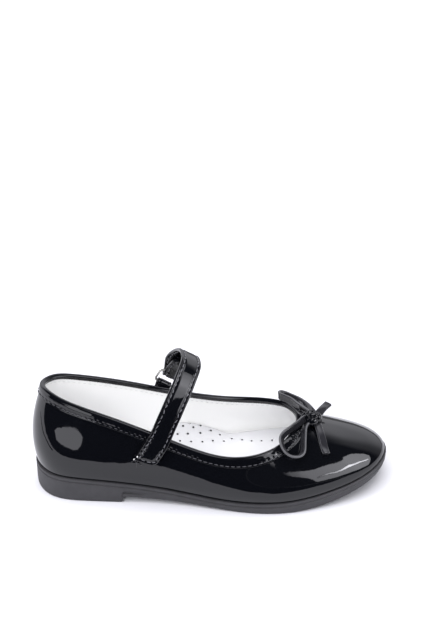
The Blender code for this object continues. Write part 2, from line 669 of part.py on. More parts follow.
def make_bow(look):
    """One ribbon tied in a bow: a knot with two loops and two tails joined to it."""
    helpers = bpy.data.collections[CUTTERS]
    points, around, rings = [], KNOT_SIDES, KNOT_RINGS
    for ring in range(rings):
        a = -np.pi / 2 + np.pi * (ring + 0.5) / rings
        for step in range(around):
            b = 2 * np.pi * step / around
            flat = np.cos(a) ** KNOT_FULLNESS
            shape = np.array([flat * np.cos(b), flat * np.sin(b), np.sin(a)])
            points.append(np.array(KNOT_PLACE) + np.array(KNOT_SIZE) / 2 * shape)
    faces = band_faces(rings, around)
    faces += [tuple(range(around))[::-1], tuple(range((rings - 1) * around, rings * around))]
    knot = add_mesh("bow", to_scene(points), faces, look)
    for name, rows, up, count in BOW_STRIPS:
        left, right = ribbon_edges(rows, up, count)
        strip = strip_mesh(name, left, right, RIBBON_THICK, RIBBON_BEVEL, look)
        bpy.data.collections[COLLECTION].objects.unlink(strip)
        helpers.objects.link(strip)
        strip.hide_render = True
        strip.display_type = "WIRE"
        join = knot.modifiers.new(name, "BOOLEAN")
        join.operation = "UNION"
        join.use_self = True
        join.object = strip
    return knot


def main():
    for old in list(bpy.data.objects):
        bpy.data.objects.remove(old)
    parts = bpy.data.collections.new(COLLECTION)
    helpers = bpy.data.collections.new(CUTTERS)
    helpers.hide_render = True
    for collection in (parts, helpers):
        bpy.context.scene.collection.children.link(collection)

    patent = material("black patent leather", (0.012, 0.012, 0.014), 0.12, coat=1.0)
    rubber = material("black moulded rubber", (0.03, 0.03, 0.032), 0.55)
    lining = material("white lining leather", (0.8, 0.8, 0.79), 0.6)
    steel = material("bright plated steel", (0.75, 0.75, 0.76), 0.15, metallic=1.0)

    make_outsole(rubber)
    make_insole(lining)
    leather = [make_upper(patent), make_collar_band(patent)]
    trees = leather_trees(leather)
    make_strap(trees, patent)
    make_ring(steel)
    make_ring_tab(trees, patent)
    make_bow(patent)


main()
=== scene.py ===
# %% [markdown]
# # A child's Mary Jane ballet flat in patent leather
#
# The real shoe is sewn and lasted: patent leather is pulled over a foot-shaped last, turned in under the
# insole and glued to a moulded rubber sole. A folded band closes the topline, a strap crosses the
# instep, and a ribbon bow sits on the vamp. Here the measured model gives every piece its place, and
# each cell dresses one piece of it in the shape and finish that the eye expects.

# %% Load the measured shoe
import math

import bmesh
import bpy
import numpy as np
from mathutils import Matrix, Vector
from mathutils.bvhtree import BVHTree


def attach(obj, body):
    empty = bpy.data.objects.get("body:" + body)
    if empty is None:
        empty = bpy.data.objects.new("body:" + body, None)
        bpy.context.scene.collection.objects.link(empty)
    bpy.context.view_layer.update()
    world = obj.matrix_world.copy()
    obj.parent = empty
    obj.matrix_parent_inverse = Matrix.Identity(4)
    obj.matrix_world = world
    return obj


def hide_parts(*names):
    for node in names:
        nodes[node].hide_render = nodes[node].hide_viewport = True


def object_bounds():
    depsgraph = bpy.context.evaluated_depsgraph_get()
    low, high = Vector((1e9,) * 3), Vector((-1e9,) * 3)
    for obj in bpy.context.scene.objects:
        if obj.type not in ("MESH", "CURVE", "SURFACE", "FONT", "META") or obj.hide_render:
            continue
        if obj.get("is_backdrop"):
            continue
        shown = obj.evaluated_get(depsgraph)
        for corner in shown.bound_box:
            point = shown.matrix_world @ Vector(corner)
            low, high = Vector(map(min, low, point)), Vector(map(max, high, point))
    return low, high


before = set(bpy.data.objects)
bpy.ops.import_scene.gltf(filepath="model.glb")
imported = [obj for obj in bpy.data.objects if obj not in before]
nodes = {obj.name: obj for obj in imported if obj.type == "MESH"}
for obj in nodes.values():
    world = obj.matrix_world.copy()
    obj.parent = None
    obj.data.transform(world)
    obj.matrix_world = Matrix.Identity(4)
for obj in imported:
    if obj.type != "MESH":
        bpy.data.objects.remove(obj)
cad_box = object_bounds()
print("nodes:", ", ".join(sorted(nodes)))

# %% [markdown]
# ## Sizes of the last
#
# A shoe is designed on a last, and a last is drawn as a set of ribs. Each rib climbs from the edge of
# the sole to the topline as one cubic curve. The same table that made the solids is used again, so that
# the finer skin made here lies exactly where the solids are. All lengths are millimetres, and x is
# measured from the back of the heel.

# %% Tables of the last and of the sole's side view
MM = 0.001
MIDDLE_X, MIDDLE_Y = 102.085, -0.16   # the middle of the shoe, which stands on the origin

# foot x, foot y, top x, top y, top z, swell out, swell up, crown out, crown up
RIBS = np.array([
    (1.1, 0.0, 6.2, 0.0, 65.1, 4.4, 17.8, 5.4, -15.9),            # heel back
    (9.2, -16.3, 11.8, -10.0, 64.6, 4.4, 16.6, 3.6, -16.6),       # heel, outer side
    (27.3, -22.3, 24.8, -16.7, 60.9, 4.1, 14.3, 1.2, -17.6),
    (57.4, -24.3, 52.1, -22.3, 52.8, 4.0, 12.1, 1.0, -15.0),      # waist, outer side
    (86.5, -27.9, 81.1, -27.0, 42.3, 4.1, 11.0, 1.0, -12.0),
    (114.4, -33.7, 106.2, -30.9, 35.0, 4.2, 9.8, 1.0, -10.0),
    (141.0, -35.6, 126.8, -29.8, 34.8, 3.6, 9.3, 1.4, -8.3),      # ball, outer side
    (168.5, -29.0, 141.0, -21.5, 37.4, 2.9, 8.2, 6.6, -4.3),
    (193.9, -15.0, 148.4, -10.1, 39.3, 2.0, 7.4, 15.6, -2.0),
    (203.9, 7.0, 151.8, 1.8, 39.5, 1.2, 7.1, 22.2, -2.5),         # toe tip
    (193.2, 25.6, 150.6, 13.0, 38.3, 2.2, 8.2, 14.8, -6.8),
    (171.3, 33.5, 144.0, 23.3, 36.9, 3.0, 8.6, 6.4, -9.0),
    (147.5, 35.5, 129.2, 29.1, 35.8, 3.8, 9.4, 2.0, -10.0),       # ball, inner side
    (118.8, 31.4, 108.5, 28.8, 37.2, 4.3, 10.0, 1.1, -9.7),
    (88.0, 25.1, 82.3, 24.8, 44.0, 4.2, 11.1, 1.1, -11.0),
    (57.0, 23.5, 52.2, 20.7, 53.3, 4.0, 12.1, 1.1, -13.7),        # waist, inner side
    (26.9, 22.9, 24.3, 15.8, 60.9, 4.1, 14.3, 1.6, -16.6),
    (8.8, 16.8, 11.4, 10.0, 64.2, 4.4, 16.5, 3.7, -16.2),         # heel, inner side
])
# x, height of the sole's top edge, height of its underside away from the heel block
SOLE_SIDE = np.array([
    (0, 16.0, 3.6), (30, 14.7, 4.0), (51, 13.0, 3.8), (70, 10.9, 3.0), (90, 8.4, 1.9), (112, 6.6, 0.5),
    (128, 6.7, 0.0), (148, 7.4, 0.0), (168, 9.6, 2.1), (188, 13.0, 6.6), (205, 16.8, 11.6),
])
WALL = 1.6          # patent leather and lining together
GAP = 0.3           # air between pieces
BAND_DEPTH = 5.4    # how far the collar band comes down the outside
HEEL_BREAST = 51.0  # front face of the heel block
print(len(RIBS), "ribs,", len(SOLE_SIDE), "stations along the sole")

# %% [markdown]
# ## A smooth curve through a table
#
# A draughtsman bends a thin batten through the measured points. The cubic spline with continuous
# curvature is the same thing in numbers. It matters here, because a glossy skin shows every break in
# curvature as a kink in its reflections.


# %% Spline
def spline(knots, values, where, period=None):
    """The smooth curve through values at knots, read at where. With a period it closes on itself."""
    knots, values = np.asarray(knots, float), np.asarray(values, float)
    flat = values.ndim == 1
    values = values[:, None] if flat else values
    where = np.atleast_1d(np.asarray(where, float))
    if period:
        values = np.vstack([values] * 3 + [values[:1]])
        knots = np.concatenate([knots - period, knots, knots + period, [knots[0] + 2 * period]])
        where = np.mod(where - knots[0], period) + knots[0] + period
    gaps = np.diff(knots)
    rises = np.diff(values, axis=0) / gaps[:, None]
    matrix, right = 2 * np.eye(len(knots)), np.zeros_like(values)
    matrix[0, 1] = matrix[-1, -2] = 1
    right[0], right[-1] = 3 * rises[0], 3 * rises[-1]
    for i in range(1, len(knots) - 1):
        matrix[i, i - 1 : i + 2] = gaps[i], 2 * (gaps[i - 1] + gaps[i]), gaps[i - 1]
        right[i] = 3 * (gaps[i] * rises[i - 1] + gaps[i - 1] * rises[i])
    slopes = np.linalg.solve(matrix, right)
    i = np.clip(np.searchsorted(knots, where, side="right") - 1, 0, len(gaps) - 1)
    gap = gaps[i][:, None]
    t = (where - knots[i])[:, None] / gap
    curve = (
        (2 * t**3 - 3 * t**2 + 1) * values[i] + (t**3 - 2 * t**2 + t) * gap * slopes[i]
        + (3 * t**2 - 2 * t**3) * values[i + 1] + (t**3 - t**2) * gap * slopes[i + 1]
    )
    return curve[:, 0] if flat else curve


def unit(vectors):
    """The same directions, each one long."""
    vectors = np.asarray(vectors, float)
    return vectors / np.linalg.norm(vectors, axis=-1, keepdims=True)


def run_length(points):
    """Distance along a row of points, from its first."""
    return np.concatenate([[0], np.cumsum(np.linalg.norm(np.diff(points, axis=0), axis=1))])


def resampled(points, count):
    """A smooth curve through rows of a table, with count even rows. Columns past xyz ride along."""
    points = np.asarray(points, float)
    knots = run_length(points[:, :3])
    return spline(knots, points, np.linspace(0, knots[-1], count))


def sole_top(x):
    """Height of the sole's top edge."""
    return spline(SOLE_SIDE[:, 0], SOLE_SIDE[:, 1], np.ravel(x)).reshape(np.shape(x))


def sole_under(x):
    """Height of the sole's underside, as if it had no heel block."""
    return spline(SOLE_SIDE[:, 0], SOLE_SIDE[:, 2], np.ravel(x)).reshape(np.shape(x))


print("sole top at the waist:", round(float(sole_top(np.array([70.0]))[0]), 2), "mm")

# %% [markdown]
# ## The wall of the upper
#
# The wall is the surface that all ribs span together. `wall` reads it at any column round the foot and
# at any depth below the topline, and `outward` gives the direction that stands off it. Both are used by
# every piece that lies on the leather.


# %% The wall as a function
def rib_curves(columns, samples=97):
    """Points up each rib, [column, sample, xyz], and the length from each point up to the topline."""
    numbers = spline(np.arange(len(RIBS)), RIBS, columns, period=len(RIBS))
    step = 1e-3
    ahead = spline(np.arange(len(RIBS)), RIBS, np.asarray(columns) + step, period=len(RIBS))
    along = (ahead - numbers) / step

    def out(dx, dy):
        """The direction to the right of a way in plan, which is off the foot."""
        return unit(np.stack([dy, -dx, np.zeros_like(dx)], axis=1))

    up = np.array([0.0, 0.0, 1.0])
    foot = np.stack([numbers[:, 0], numbers[:, 1], sole_top(numbers[:, 0]) + GAP], axis=1)
    top = numbers[:, 2:5]
    swell = foot + numbers[:, 5:6] * out(along[:, 0], along[:, 1]) + numbers[:, 6:7] * up
    crown = top + numbers[:, 7:8] * out(along[:, 2], along[:, 3]) + numbers[:, 8:9] * up
    foot, swell, crown, top = (p[:, None, :] for p in (foot, swell, crown, top))
    t = np.linspace(0, 1, samples)[None, :, None]
    curve = (1 - t) ** 3 * foot + 3 * t * (1 - t) ** 2 * swell + 3 * t**2 * (1 - t) * crown + t**3 * top
    parts = np.cumsum(np.linalg.norm(np.diff(curve, axis=1), axis=2), axis=1)
    run = np.concatenate([np.zeros((len(curve), 1)), parts], axis=1)
    return curve, run[:, -1:] - run


def wall(columns, depths):
    """Points [row, column, xyz] of the wall: depths[row, column] in mm below the topline."""
    curve, depth = rib_curves(columns)
    depths = np.broadcast_to(depths, (len(depths), len(curve)))
    points = np.empty(depths.shape + (3,))
    for c in range(len(curve)):
        for k in range(3):
            points[:, c, k] = np.interp(depths[:, c], depth[c, ::-1], curve[c, ::-1, k])
    return points


def outward(points):
    """Directions off a grid that closes round the foot and whose rows run down from the topline."""
    around = np.roll(points, -1, axis=1) - np.roll(points, 1, axis=1)
    down = np.gradient(points, axis=0)
    return unit(np.cross(down, around))


def round_foot(count):
    """Even places round the foot, counted in ribs from the back of the heel."""
    return np.arange(count) * len(RIBS) / count


print("wall at the heel, 10 mm down:", wall([0.0], np.array([[10.0]]))[0, 0].round(1))

# %% [markdown]
# ## From points to pieces
#
# Nearly every piece of a shoe is a sheet or a strip, so one helper serves them all: it makes Blender's
# grid, lays its vertices over rows of points, and welds the edges that meet. `section` rows that close
# on themselves give a solid strip. Each finished piece keeps its object at the origin.


# %% Grid helper
def in_scene(points):
    """Millimetres from the heel to metres from the origin."""
    return (np.asarray(points, float) - [MIDDLE_X, MIDDLE_Y, 0]) * MM


def new_mesh():
    """A bmesh with a UV layer, which the grids fill from 0 to 1."""
    bm = bmesh.new()
    bm.loops.layers.uv.new("UVMap")
    return bm


def lay_grid(bm, points, close_rows=False, close_columns=False, looks=None):
    """Adds a grid laid over points[row, column, xyz] in mm. looks gives a finish number for each column."""
    points = np.asarray(points, float)
    if close_rows:
        points = np.concatenate([points, points[:1]])
    if close_columns:
        points = np.concatenate([points, points[:, :1]], axis=1)
    rows, columns = points.shape[:2]
    places = in_scene(points)
    grid = bmesh.ops.create_grid(bm, x_segments=columns - 1, y_segments=rows - 1, size=1, calc_uvs=True)
    if looks is not None:
        for face in {face for vertex in grid["verts"] for face in vertex.link_faces}:
            face.material_index = int(looks[int((face.calc_center_median().x + 1) / 2 * (columns - 1))])
    for vertex in grid["verts"]:
        column = round((vertex.co.x + 1) / 2 * (columns - 1))
        row = round((vertex.co.y + 1) / 2 * (rows - 1))
        vertex.co = places[row, column]


def weld(bm, fill=False):
    """Merges the vertices that meet, and closes open ends with flat faces if fill is set."""
    bmesh.ops.remove_doubles(bm, verts=bm.verts, dist=1e-7)
    if fill:
        bmesh.ops.holes_fill(bm, edges=[edge for edge in bm.edges if edge.is_boundary], sides=0)


def make_piece(bm, name, finish):
    """Turns a bmesh into a named piece of the shoe with its finishes, its object at the origin."""
    bmesh.ops.recalc_face_normals(bm, faces=bm.faces)
    mesh = bpy.data.meshes.new(name)
    bm.to_mesh(mesh)
    bm.free()
    for look in finish if isinstance(finish, (list, tuple)) else [finish]:
        mesh.materials.append(look)
    mesh.shade_smooth()
    piece = bpy.data.objects.new(name, mesh)
    bpy.context.scene.collection.objects.link(piece)
    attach(piece, "root")
    size = [round(side * 1000, 1) for side in piece.dimensions]
    print(f"{name}: {len(mesh.polygons)} faces, {size} mm")
    return piece


# %% [markdown]
# ## Finishes
#
# Each material starts from what the real one is. A small function adds a node with its settings, values
# and links, and another turns the hex colours of a swatch book into the linear numbers that a shader
# needs. Patterns are worked out in real millimetres on Object coordinates, which here are metres.


# %% Material helpers
def linear(hex_colour):
    """A swatch's sRGB hex as linear red, green, blue, and a full alpha."""
    channels = [int(hex_colour[i : i + 2], 16) / 255 for i in (1, 3, 5)]
    return (*(c / 12.92 if c <= 0.04045 else ((c + 0.055) / 1.055) ** 2.4 for c in channels), 1.0)


def per_mm(size):
    """The scale that gives a pattern's feature this size in mm, on coordinates in metres."""
    return 1000 / size


def add_node(tree, kind, values=None, links=None, **settings):
    """A new shader node with its settings, its sockets' values and the links into it."""
    node = tree.nodes.new("ShaderNode" + kind)
    for key, value in settings.items():
        setattr(node, key, value)
    for socket, value in (values or {}).items():
        node.inputs[socket].default_value = value
    for socket, source in (links or {}).items():
        tree.links.new(source, node.inputs[socket])
    return node


def new_finish(name, **values):
    """A Principled material with constants on its own sockets, its node tree and its shader."""
    finish = bpy.data.materials.new(name)
    finish.use_nodes = True
    shader = finish.node_tree.nodes["Principled BSDF"]
    for socket, value in values.items():
        shader.inputs[socket.replace("_", " ")].default_value = value
    return finish, finish.node_tree, shader


print("a swatch in linear numbers:", [round(c, 3) for c in linear("#17171A")])

# %% [markdown]
# ### Patent leather
#
# Patent leather is a split hide with a poured film of clear polyurethane lacquer. The film gives
# mirror-like reflections on a black ground, a very slight orange-peel that only bends the edges of those
# reflections, and fingertip haze. A glossy black plastic would give the same mirror but not the same
# depth, so the shader keeps the two layers apart: a dull black hide under a full clear coat.


# %% Patent leather
def patent_finish(name, wave=0.35, peel=0.06, shine=(0.02, 0.06), hide="#08090D"):
    """Lacquered hide. To the eye it is a black mirror whose reflections have slightly restless edges."""
    finish, tree, shader = new_finish(
        name, Base_Color=linear(hide), Roughness=0.4, Specular_IOR_Level=0.0,
        Coat_Weight=1.0, Coat_IOR=1.5,
    )
    place = add_node(tree, "TexCoord").outputs["Object"]
    long_wave = add_node(tree, "TexNoise", {"Scale": per_mm(16), "Detail": 1.0}, {"Vector": place})
    orange_peel = add_node(tree, "TexNoise", {"Scale": per_mm(1.4), "Detail": 2.0}, {"Vector": place})
    haze = add_node(tree, "TexNoise", {"Scale": per_mm(9), "Detail": 4.0}, {"Vector": place})
    gloss = add_node(
        tree, "MapRange", {"From Min": 0.35, "From Max": 0.75, "To Min": shine[0], "To Max": shine[1]},
        {"Value": haze.outputs["Fac"]},
    )
    tree.links.new(gloss.outputs["Result"], shader.inputs["Coat Roughness"])
    waves = add_node(
        tree, "Bump", {"Strength": wave, "Distance": 0.6 * MM}, {"Height": long_wave.outputs["Fac"]}
    )
    film = add_node(
        tree, "Bump", {"Strength": peel, "Distance": 0.1 * MM},
        {"Height": orange_peel.outputs["Fac"], "Normal": waves.outputs["Normal"]},
    )
    tree.links.new(film.outputs["Normal"], shader.inputs["Coat Normal"])
    tree.links.new(film.outputs["Normal"], shader.inputs["Normal"])
    return finish


patent = patent_finish("black patent leather, lacquered hide")
patent_strip = patent_finish("black patent leather, cut strip", wave=0.2, peel=0.1)
patent_ribbon = patent_finish(
    "black patent leather, thin ribbon", wave=0.3, peel=0.2, shine=(0.08, 0.18), hide="#232327"
)
print("patent leathers:", ", ".join(finish.name for finish in (patent, patent_strip, patent_ribbon)))

# %% [markdown]
# ### White lining, insole, thread, rubber and nickel
#
# The lining is a white coated split with a fine pebble. The insole cover is smoother. The thread is
# bonded black nylon with a visible twist. The sole is a charcoal rubber that left its mould with a matt,
# slightly mottled skin. The ring is bright nickel plate. A cut edge of patent shows the grey fibre under
# the film.


# %% The other finishes
def pebbled_finish(name, colour, grain, depth, roughness):
    """Coated leather, embossed by a pebbled roller. To the eye it is an even soft white, never shiny."""
    finish, tree, shader = new_finish(name, Base_Color=linear(colour), Roughness=roughness)
    place = add_node(tree, "TexCoord").outputs["Object"]
    cells = add_node(tree, "TexVoronoi", {"Scale": per_mm(grain)}, {"Vector": place}, feature="SMOOTH_F1")
    bump = add_node(
        tree, "Bump", {"Strength": 0.4, "Distance": depth * MM}, {"Height": cells.outputs["Distance"]}
    )
    tree.links.new(bump.outputs["Normal"], shader.inputs["Normal"])
    clouds = add_node(tree, "TexNoise", {"Scale": per_mm(30), "Detail": 3.0}, {"Vector": place})
    shade = add_node(
        tree, "MapRange", {"To Min": roughness - 0.06, "To Max": roughness + 0.06},
        {"Value": clouds.outputs["Fac"]},
    )
    tree.links.new(shade.outputs["Result"], shader.inputs["Roughness"])
    return finish


def rubber_finish():
    """Moulded rubber. To the eye it is a dull charcoal, a little cloudy, with fine grit from the mould."""
    finish, tree, shader = new_finish(
        "charcoal rubber, moulded matt", Roughness=0.55, Specular_IOR_Level=0.4
    )
    place = add_node(tree, "TexCoord").outputs["Object"]
    mottle = add_node(tree, "TexNoise", {"Scale": per_mm(6), "Detail": 5.0}, {"Vector": place})
    colour = add_node(tree, "ValToRGB", links={"Fac": mottle.outputs["Fac"]})
    colour.color_ramp.elements[0].color = linear("#2B2B2E")
    colour.color_ramp.elements[1].color = linear("#3C3B3F")
    tree.links.new(colour.outputs["Color"], shader.inputs["Base Color"])
    grit = add_node(tree, "TexNoise", {"Scale": per_mm(0.5), "Detail": 3.0}, {"Vector": place})
    bump = add_node(tree, "Bump", {"Strength": 0.25, "Distance": 0.1 * MM}, {"Height": grit.outputs["Fac"]})
    tree.links.new(bump.outputs["Normal"], shader.inputs["Normal"])
    return finish


def thread_finish(name, colour):
    """Twisted and bonded nylon. To the eye it is a satin grain with a slanted twist, drawn a little
    coarser than the real plies so that it shows."""
    finish, tree, shader = new_finish(name, Base_Color=linear(colour), Roughness=0.35)
    place = add_node(tree, "TexCoord").outputs["Object"]
    twist = add_node(
        tree, "TexWave", {"Scale": per_mm(2.5), "Distortion": 2.0}, {"Vector": place},
        bands_direction="DIAGONAL",
    )
    bump = add_node(tree, "Bump", {"Strength": 0.5, "Distance": 0.1 * MM}, {"Height": twist.outputs["Fac"]})
    tree.links.new(bump.outputs["Normal"], shader.inputs["Normal"])
    return finish


def nickel_finish():
    """Plated wire, tumbled bright. To the eye it is a small mirror with cloudy rubbed places."""
    finish, tree, shader = new_finish("bright nickel plate", Base_Color=linear("#E6E5E2"), Metallic=0.8)
    place = add_node(tree, "TexCoord").outputs["Object"]
    rub = add_node(tree, "TexNoise", {"Scale": per_mm(2), "Detail": 3.0}, {"Vector": place})
    gloss = add_node(tree, "MapRange", {"To Min": 0.08, "To Max": 0.24}, {"Value": rub.outputs["Fac"]})
    tree.links.new(gloss.outputs["Result"], shader.inputs["Roughness"])
    return finish


lining_white = pebbled_finish("white coated lining leather", "#F8F8F8", 0.9, 0.05, 0.55)
# the insole cover is white leather, but its colour is a light grey: painted shade that evens out the stronger
# light on its flat top
insole_grey_painted_shade = pebbled_finish("white insole cover leather, grey as painted shade", "#C6C6CA", 0.6, 0.03, 0.5)
rubber = rubber_finish()
# the black threads are coloured dark and light grey: painted sheen, so that the stitches show as light dashes
# on the black leather
black_thread_painted_sheen = thread_finish("black bonded nylon thread, grey as painted sheen", "#3C3C41")
strap_thread_painted_sheen = thread_finish("nylon strap thread, light grey as painted sheen", "#5E5E64")
white_thread = thread_finish("white bonded nylon thread", "#E4E4E6")
nickel = nickel_finish()
cut_edge, _, _ = new_finish("grey fibre of a cut leather edge", Base_Color=linear("#4C4C50"), Roughness=0.6)
print(len(bpy.data.materials), "materials")

# %% [markdown]
# ## The patent upper
#
# The shoemaker pulls one piece of patent leather over the last and turns its margin in under the insole.
# It could be sculpted, but then its reflections would wobble, so the skin is a grid laid over the ribs,
# closer together at the back, where the two ends of the leather meet in a seam. Leather keeps soft
# troughs where it was pulled and bent. These are placed one by one, each as a line on the outer side, the
# inner side or the vamp. The whole relief is moved along the wall's own outward direction, and a
# Solidify modifier then gives the leather its thickness.

# %% Relief of the leather
LEATHER = 0.8        # the patent leather alone; the lining is the other half of the wall
SEAM_HALF = 0.35     # half width of the back seam's groove
SEAM_DEPTH = 0.30

# side, start, end, width, depth: the outer and inner lines are given in x and z, the vamp's in x and y
CREASES = (
    ("outer", (118, 26), (136, 12), 5.0, 0.16), ("outer", (129, 25), (146, 12), 4.0, 0.12),
    ("outer", (96, 30), (104, 14), 8.0, 0.14), ("outer", (40, 38), (74, 26), 10.0, 0.16),
    ("outer", (14, 44), (24, 24), 9.0, 0.12), ("inner", (116, 28), (134, 12), 5.0, 0.16),
    ("inner", (128, 27), (145, 13), 4.0, 0.12), ("inner", (92, 30), (101, 14), 8.0, 0.14),
    ("inner", (38, 40), (70, 26), 10.0, 0.16), ("vamp", (166, -22), (170, 20), 7.0, 0.10),
)


def line_distance(points, start, end):
    """Distance in mm of flat points to a line, and the share of the way along it."""
    start, end = np.array(start, float), np.array(end, float)
    way = end - start
    share = np.clip(((points - start) @ way) / (way @ way), 0, 1)
    return np.linalg.norm(points - start - share[..., None] * way, axis=-1), share


def crease_relief(points):
    """Height in mm of all creases at points, with a low ridge on both sides of each trough."""
    relief = np.zeros(points.shape[:-1])
    for side, start, end, width, depth in CREASES:
        flat = points[..., [0, 1]] if side == "vamp" else points[..., [0, 2]]
        distance, share = line_distance(flat, start, end)
        t = distance / width
        trough = -np.exp(-t * t) + 0.45 * np.exp(-((t - 1.6) ** 2) * 2)
        facing = {"outer": -points[..., 1], "inner": points[..., 1], "vamp": points[..., 0] - 150}[side]
        relief += depth * trough * np.sin(np.pi * share) * np.clip(facing / 8, 0, 1)
    return relief


def wave(values, size):
    """A wave between -1 and 1 with its length in mm."""
    return np.sin(2 * np.pi * values / size)


print(len(CREASES), "creases, deepest", max(crease[-1] for crease in CREASES), "mm")

# %% The skin
def lift_at(x):
    """How far the leather rises towards the band's lower edge, in mm: it sinks a little round the heel."""
    return np.interp(x, (14, 36, 62), (-0.26, -0.46, 0.25))


SKIN_COLUMNS, ROWS_UNDER_BAND, ROWS_BELOW_BAND = 340, 6, 74
TURNED_IN = (0.25, 1.2, 4.0, 7.0)    # reach of the rows of the margin under the insole
seam_columns = np.array([0.012, 0.022, 0.035, 0.06, 0.09])
columns = np.unique(np.concatenate([round_foot(SKIN_COLUMNS), seam_columns, len(RIBS) - seam_columns]))
length = rib_curves(columns)[1][:, 0]
under_band = np.linspace(0, BAND_DEPTH - 0.6, ROWS_UNDER_BAND)[:, None] + 0 * length
below_band = BAND_DEPTH + np.linspace(0, 1, ROWS_BELOW_BAND)[:, None] ** 0.9 * (length - BAND_DEPTH)
depths = np.concatenate([under_band, below_band])
skin = wall(columns, depths)
off_skin = outward(skin)
around_foot = run_length(skin[-1])
from_seam = np.minimum(around_foot, around_foot[-1] - around_foot)
to_foot = length - depths
print("skin:", skin.shape[0], "rows of", skin.shape[1], "points")

# %% Relief and margin of the skin
relief = crease_relief(skin)
relief -= SEAM_DEPTH * np.exp(-((from_seam / SEAM_HALF) ** 2))
relief += 0.10 * np.exp(-(((from_seam - 1.1) / 0.6) ** 2))
# small pleats where the leather was drawn round the toe, and a long unevenness everywhere
toe = np.clip((skin[..., 0] - 150) / 25, 0, 1)
relief += 0.05 * toe * wave(around_foot + 1.5 * wave(around_foot, 37), 6.3) * np.exp(-to_foot / 4.0)
relief += 0.05 * wave(skin[..., 0] + 0.6 * skin[..., 2], 41) * np.clip(to_foot / 6, 0, 1)
relief *= np.clip(depths / BAND_DEPTH, 0, 1) ** 2
past_band = depths - BAND_DEPTH
rise = np.clip(1 + past_band / 3, 0, 1) ** 2 * (1 - np.clip(past_band / 14, 0, 1)) ** 2
relief += lift_at(skin[..., 0]) * rise
skin = skin + off_skin * relief[..., None]

foot_in = unit(-off_skin[-1] * [1, 1, 0])
turned = [skin[-1] + foot_in * reach for reach in TURNED_IN]
for row in turned:
    row[:, 2] = sole_top(row[:, 0]) + GAP
bm = new_mesh()
lay_grid(bm, np.concatenate([skin, turned]), close_columns=True)
weld(bm)
upper = make_piece(bm, "patent_upper", patent)
shell = upper.modifiers.new("leather thickness", "SOLIDIFY")
shell.thickness = LEATHER * MM
shell.offset = -1
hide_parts("upper")

# %% [markdown]
# ## The lining
#
# The white lining is glued to the back of the patent leather, so it is the same wall, moved in by the
# leather's thickness. It shows inside the heel and along the far side of the foot. The upper's inner
# face could simply be coloured white, but a sheet of its own can stand a little full here and there.

# %% Lining
GLUE = 0.2           # glue between the leather and the lining
lining_columns = round_foot(240)
lining_length = rib_curves(lining_columns)[1][:, 0]
lining_depths = 0.1 + np.linspace(0, 1, 44)[:, None] * (lining_length - 0.6)
lining_wall = wall(lining_columns, lining_depths)
off_lining = outward(lining_wall)
fullness = 0.10 * wave(lining_wall[..., 0] + 0.8 * lining_wall[..., 2], 23)
fullness *= np.clip(lining_depths / 12, 0, 1)
bm = new_mesh()
lay_grid(bm, lining_wall - off_lining * (LEATHER + GLUE + fullness)[..., None], close_columns=True)
weld(bm)
lining = make_piece(bm, "white_lining", lining_white)
shell = lining.modifiers.new("lining thickness", "SOLIDIFY")
shell.thickness = (WALL - LEATHER - GLUE) * MM
shell.offset = -1

# %% [markdown]
# ## Collar band
#
# A narrow strip of patent leather is folded over the raw topline and sewn through. It stands up like a
# soft bead between the fold and the stitch line, and each stitch pulls a small pucker into it. Its two
# ends overlap in a diagonal seam at the outer corner of the throat. A bevelled curve would keep one
# section all the way round, but here the section changes with every stitch. So the strip's section is
# one closed ring of points, and that ring is carried round the topline.

# %% Frames along the topline
PITCH = 3.1            # from stitch to stitch
STITCH_DEPTH = 4.3     # stitch line below the topline
PER_STITCH = 6         # points of the band from stitch to stitch
BAND_NEAR, BAND_FAR = GAP, GAP + 0.42    # the outer leg's two faces, off the leather
BAND_INSIDE = WALL + GAP


def even_columns(count, depth=0.0):
    """Places round the foot, in ribs, at even distances along the wall at one depth."""
    fine = round_foot(1440)
    once_round = [wall(places, np.array([[depth]]))[0] for places in (fine, [0.0])]
    run = run_length(np.concatenate(once_round))
    return np.interp(np.arange(count) * run[-1] / count, run, np.append(fine, len(RIBS))), run[-1]


def rim_frame(where, depth):
    """Points at a depth below the topline with the outward, upward and onward directions there."""
    depth = np.broadcast_to(depth, len(where))
    here, lower = wall(where, np.array([depth, depth + 0.5]))
    ahead, behind = wall(where + 0.02, depth[None])[0], wall(where - 0.02, depth[None])[0]
    up, onward = unit(here - lower), unit(ahead - behind)
    return here, unit(np.cross(onward, up)), up, onward


_, rim_length = even_columns(10, STITCH_DEPTH)
STITCHES = round(rim_length / PITCH)
rim_columns, _ = even_columns(STITCHES * PER_STITCH, STITCH_DEPTH)
along_rim = np.arange(len(rim_columns)) * rim_length / len(rim_columns)
stitch_step = rim_length / STITCHES
print(f"topline {rim_length:.0f} mm, {STITCHES} stitches of {stitch_step:.2f} mm")


# %% The band's section
OVERLAP_PLACE = (138.3, -25.6, 35.0)    # the outer corner of the throat
topline = wall(rim_columns, np.array([[0.0]]))[0]
# the band is skived thinner towards its lower edge, but less so along the quarter
full = np.clip((topline[:, 0] - 28) / 12, 0, 1) * np.clip((85 - topline[:, 0]) / 15, 0, 1)
band_lip = GAP + 0.08 + 0.7 * np.maximum(lift_at(topline[:, 0]), 0)
band_lip += full * np.maximum(BAND_FAR + 0.05 - band_lip, 0)
# the thread pulls hardest round the throat
drawn = 0.35 + 0.5 * np.clip((topline[:, 0] - 100) / 30, 0, 1)
to_hole = np.abs(np.mod(along_rim / stitch_step + 0.5, 1) - 0.5) * stitch_step


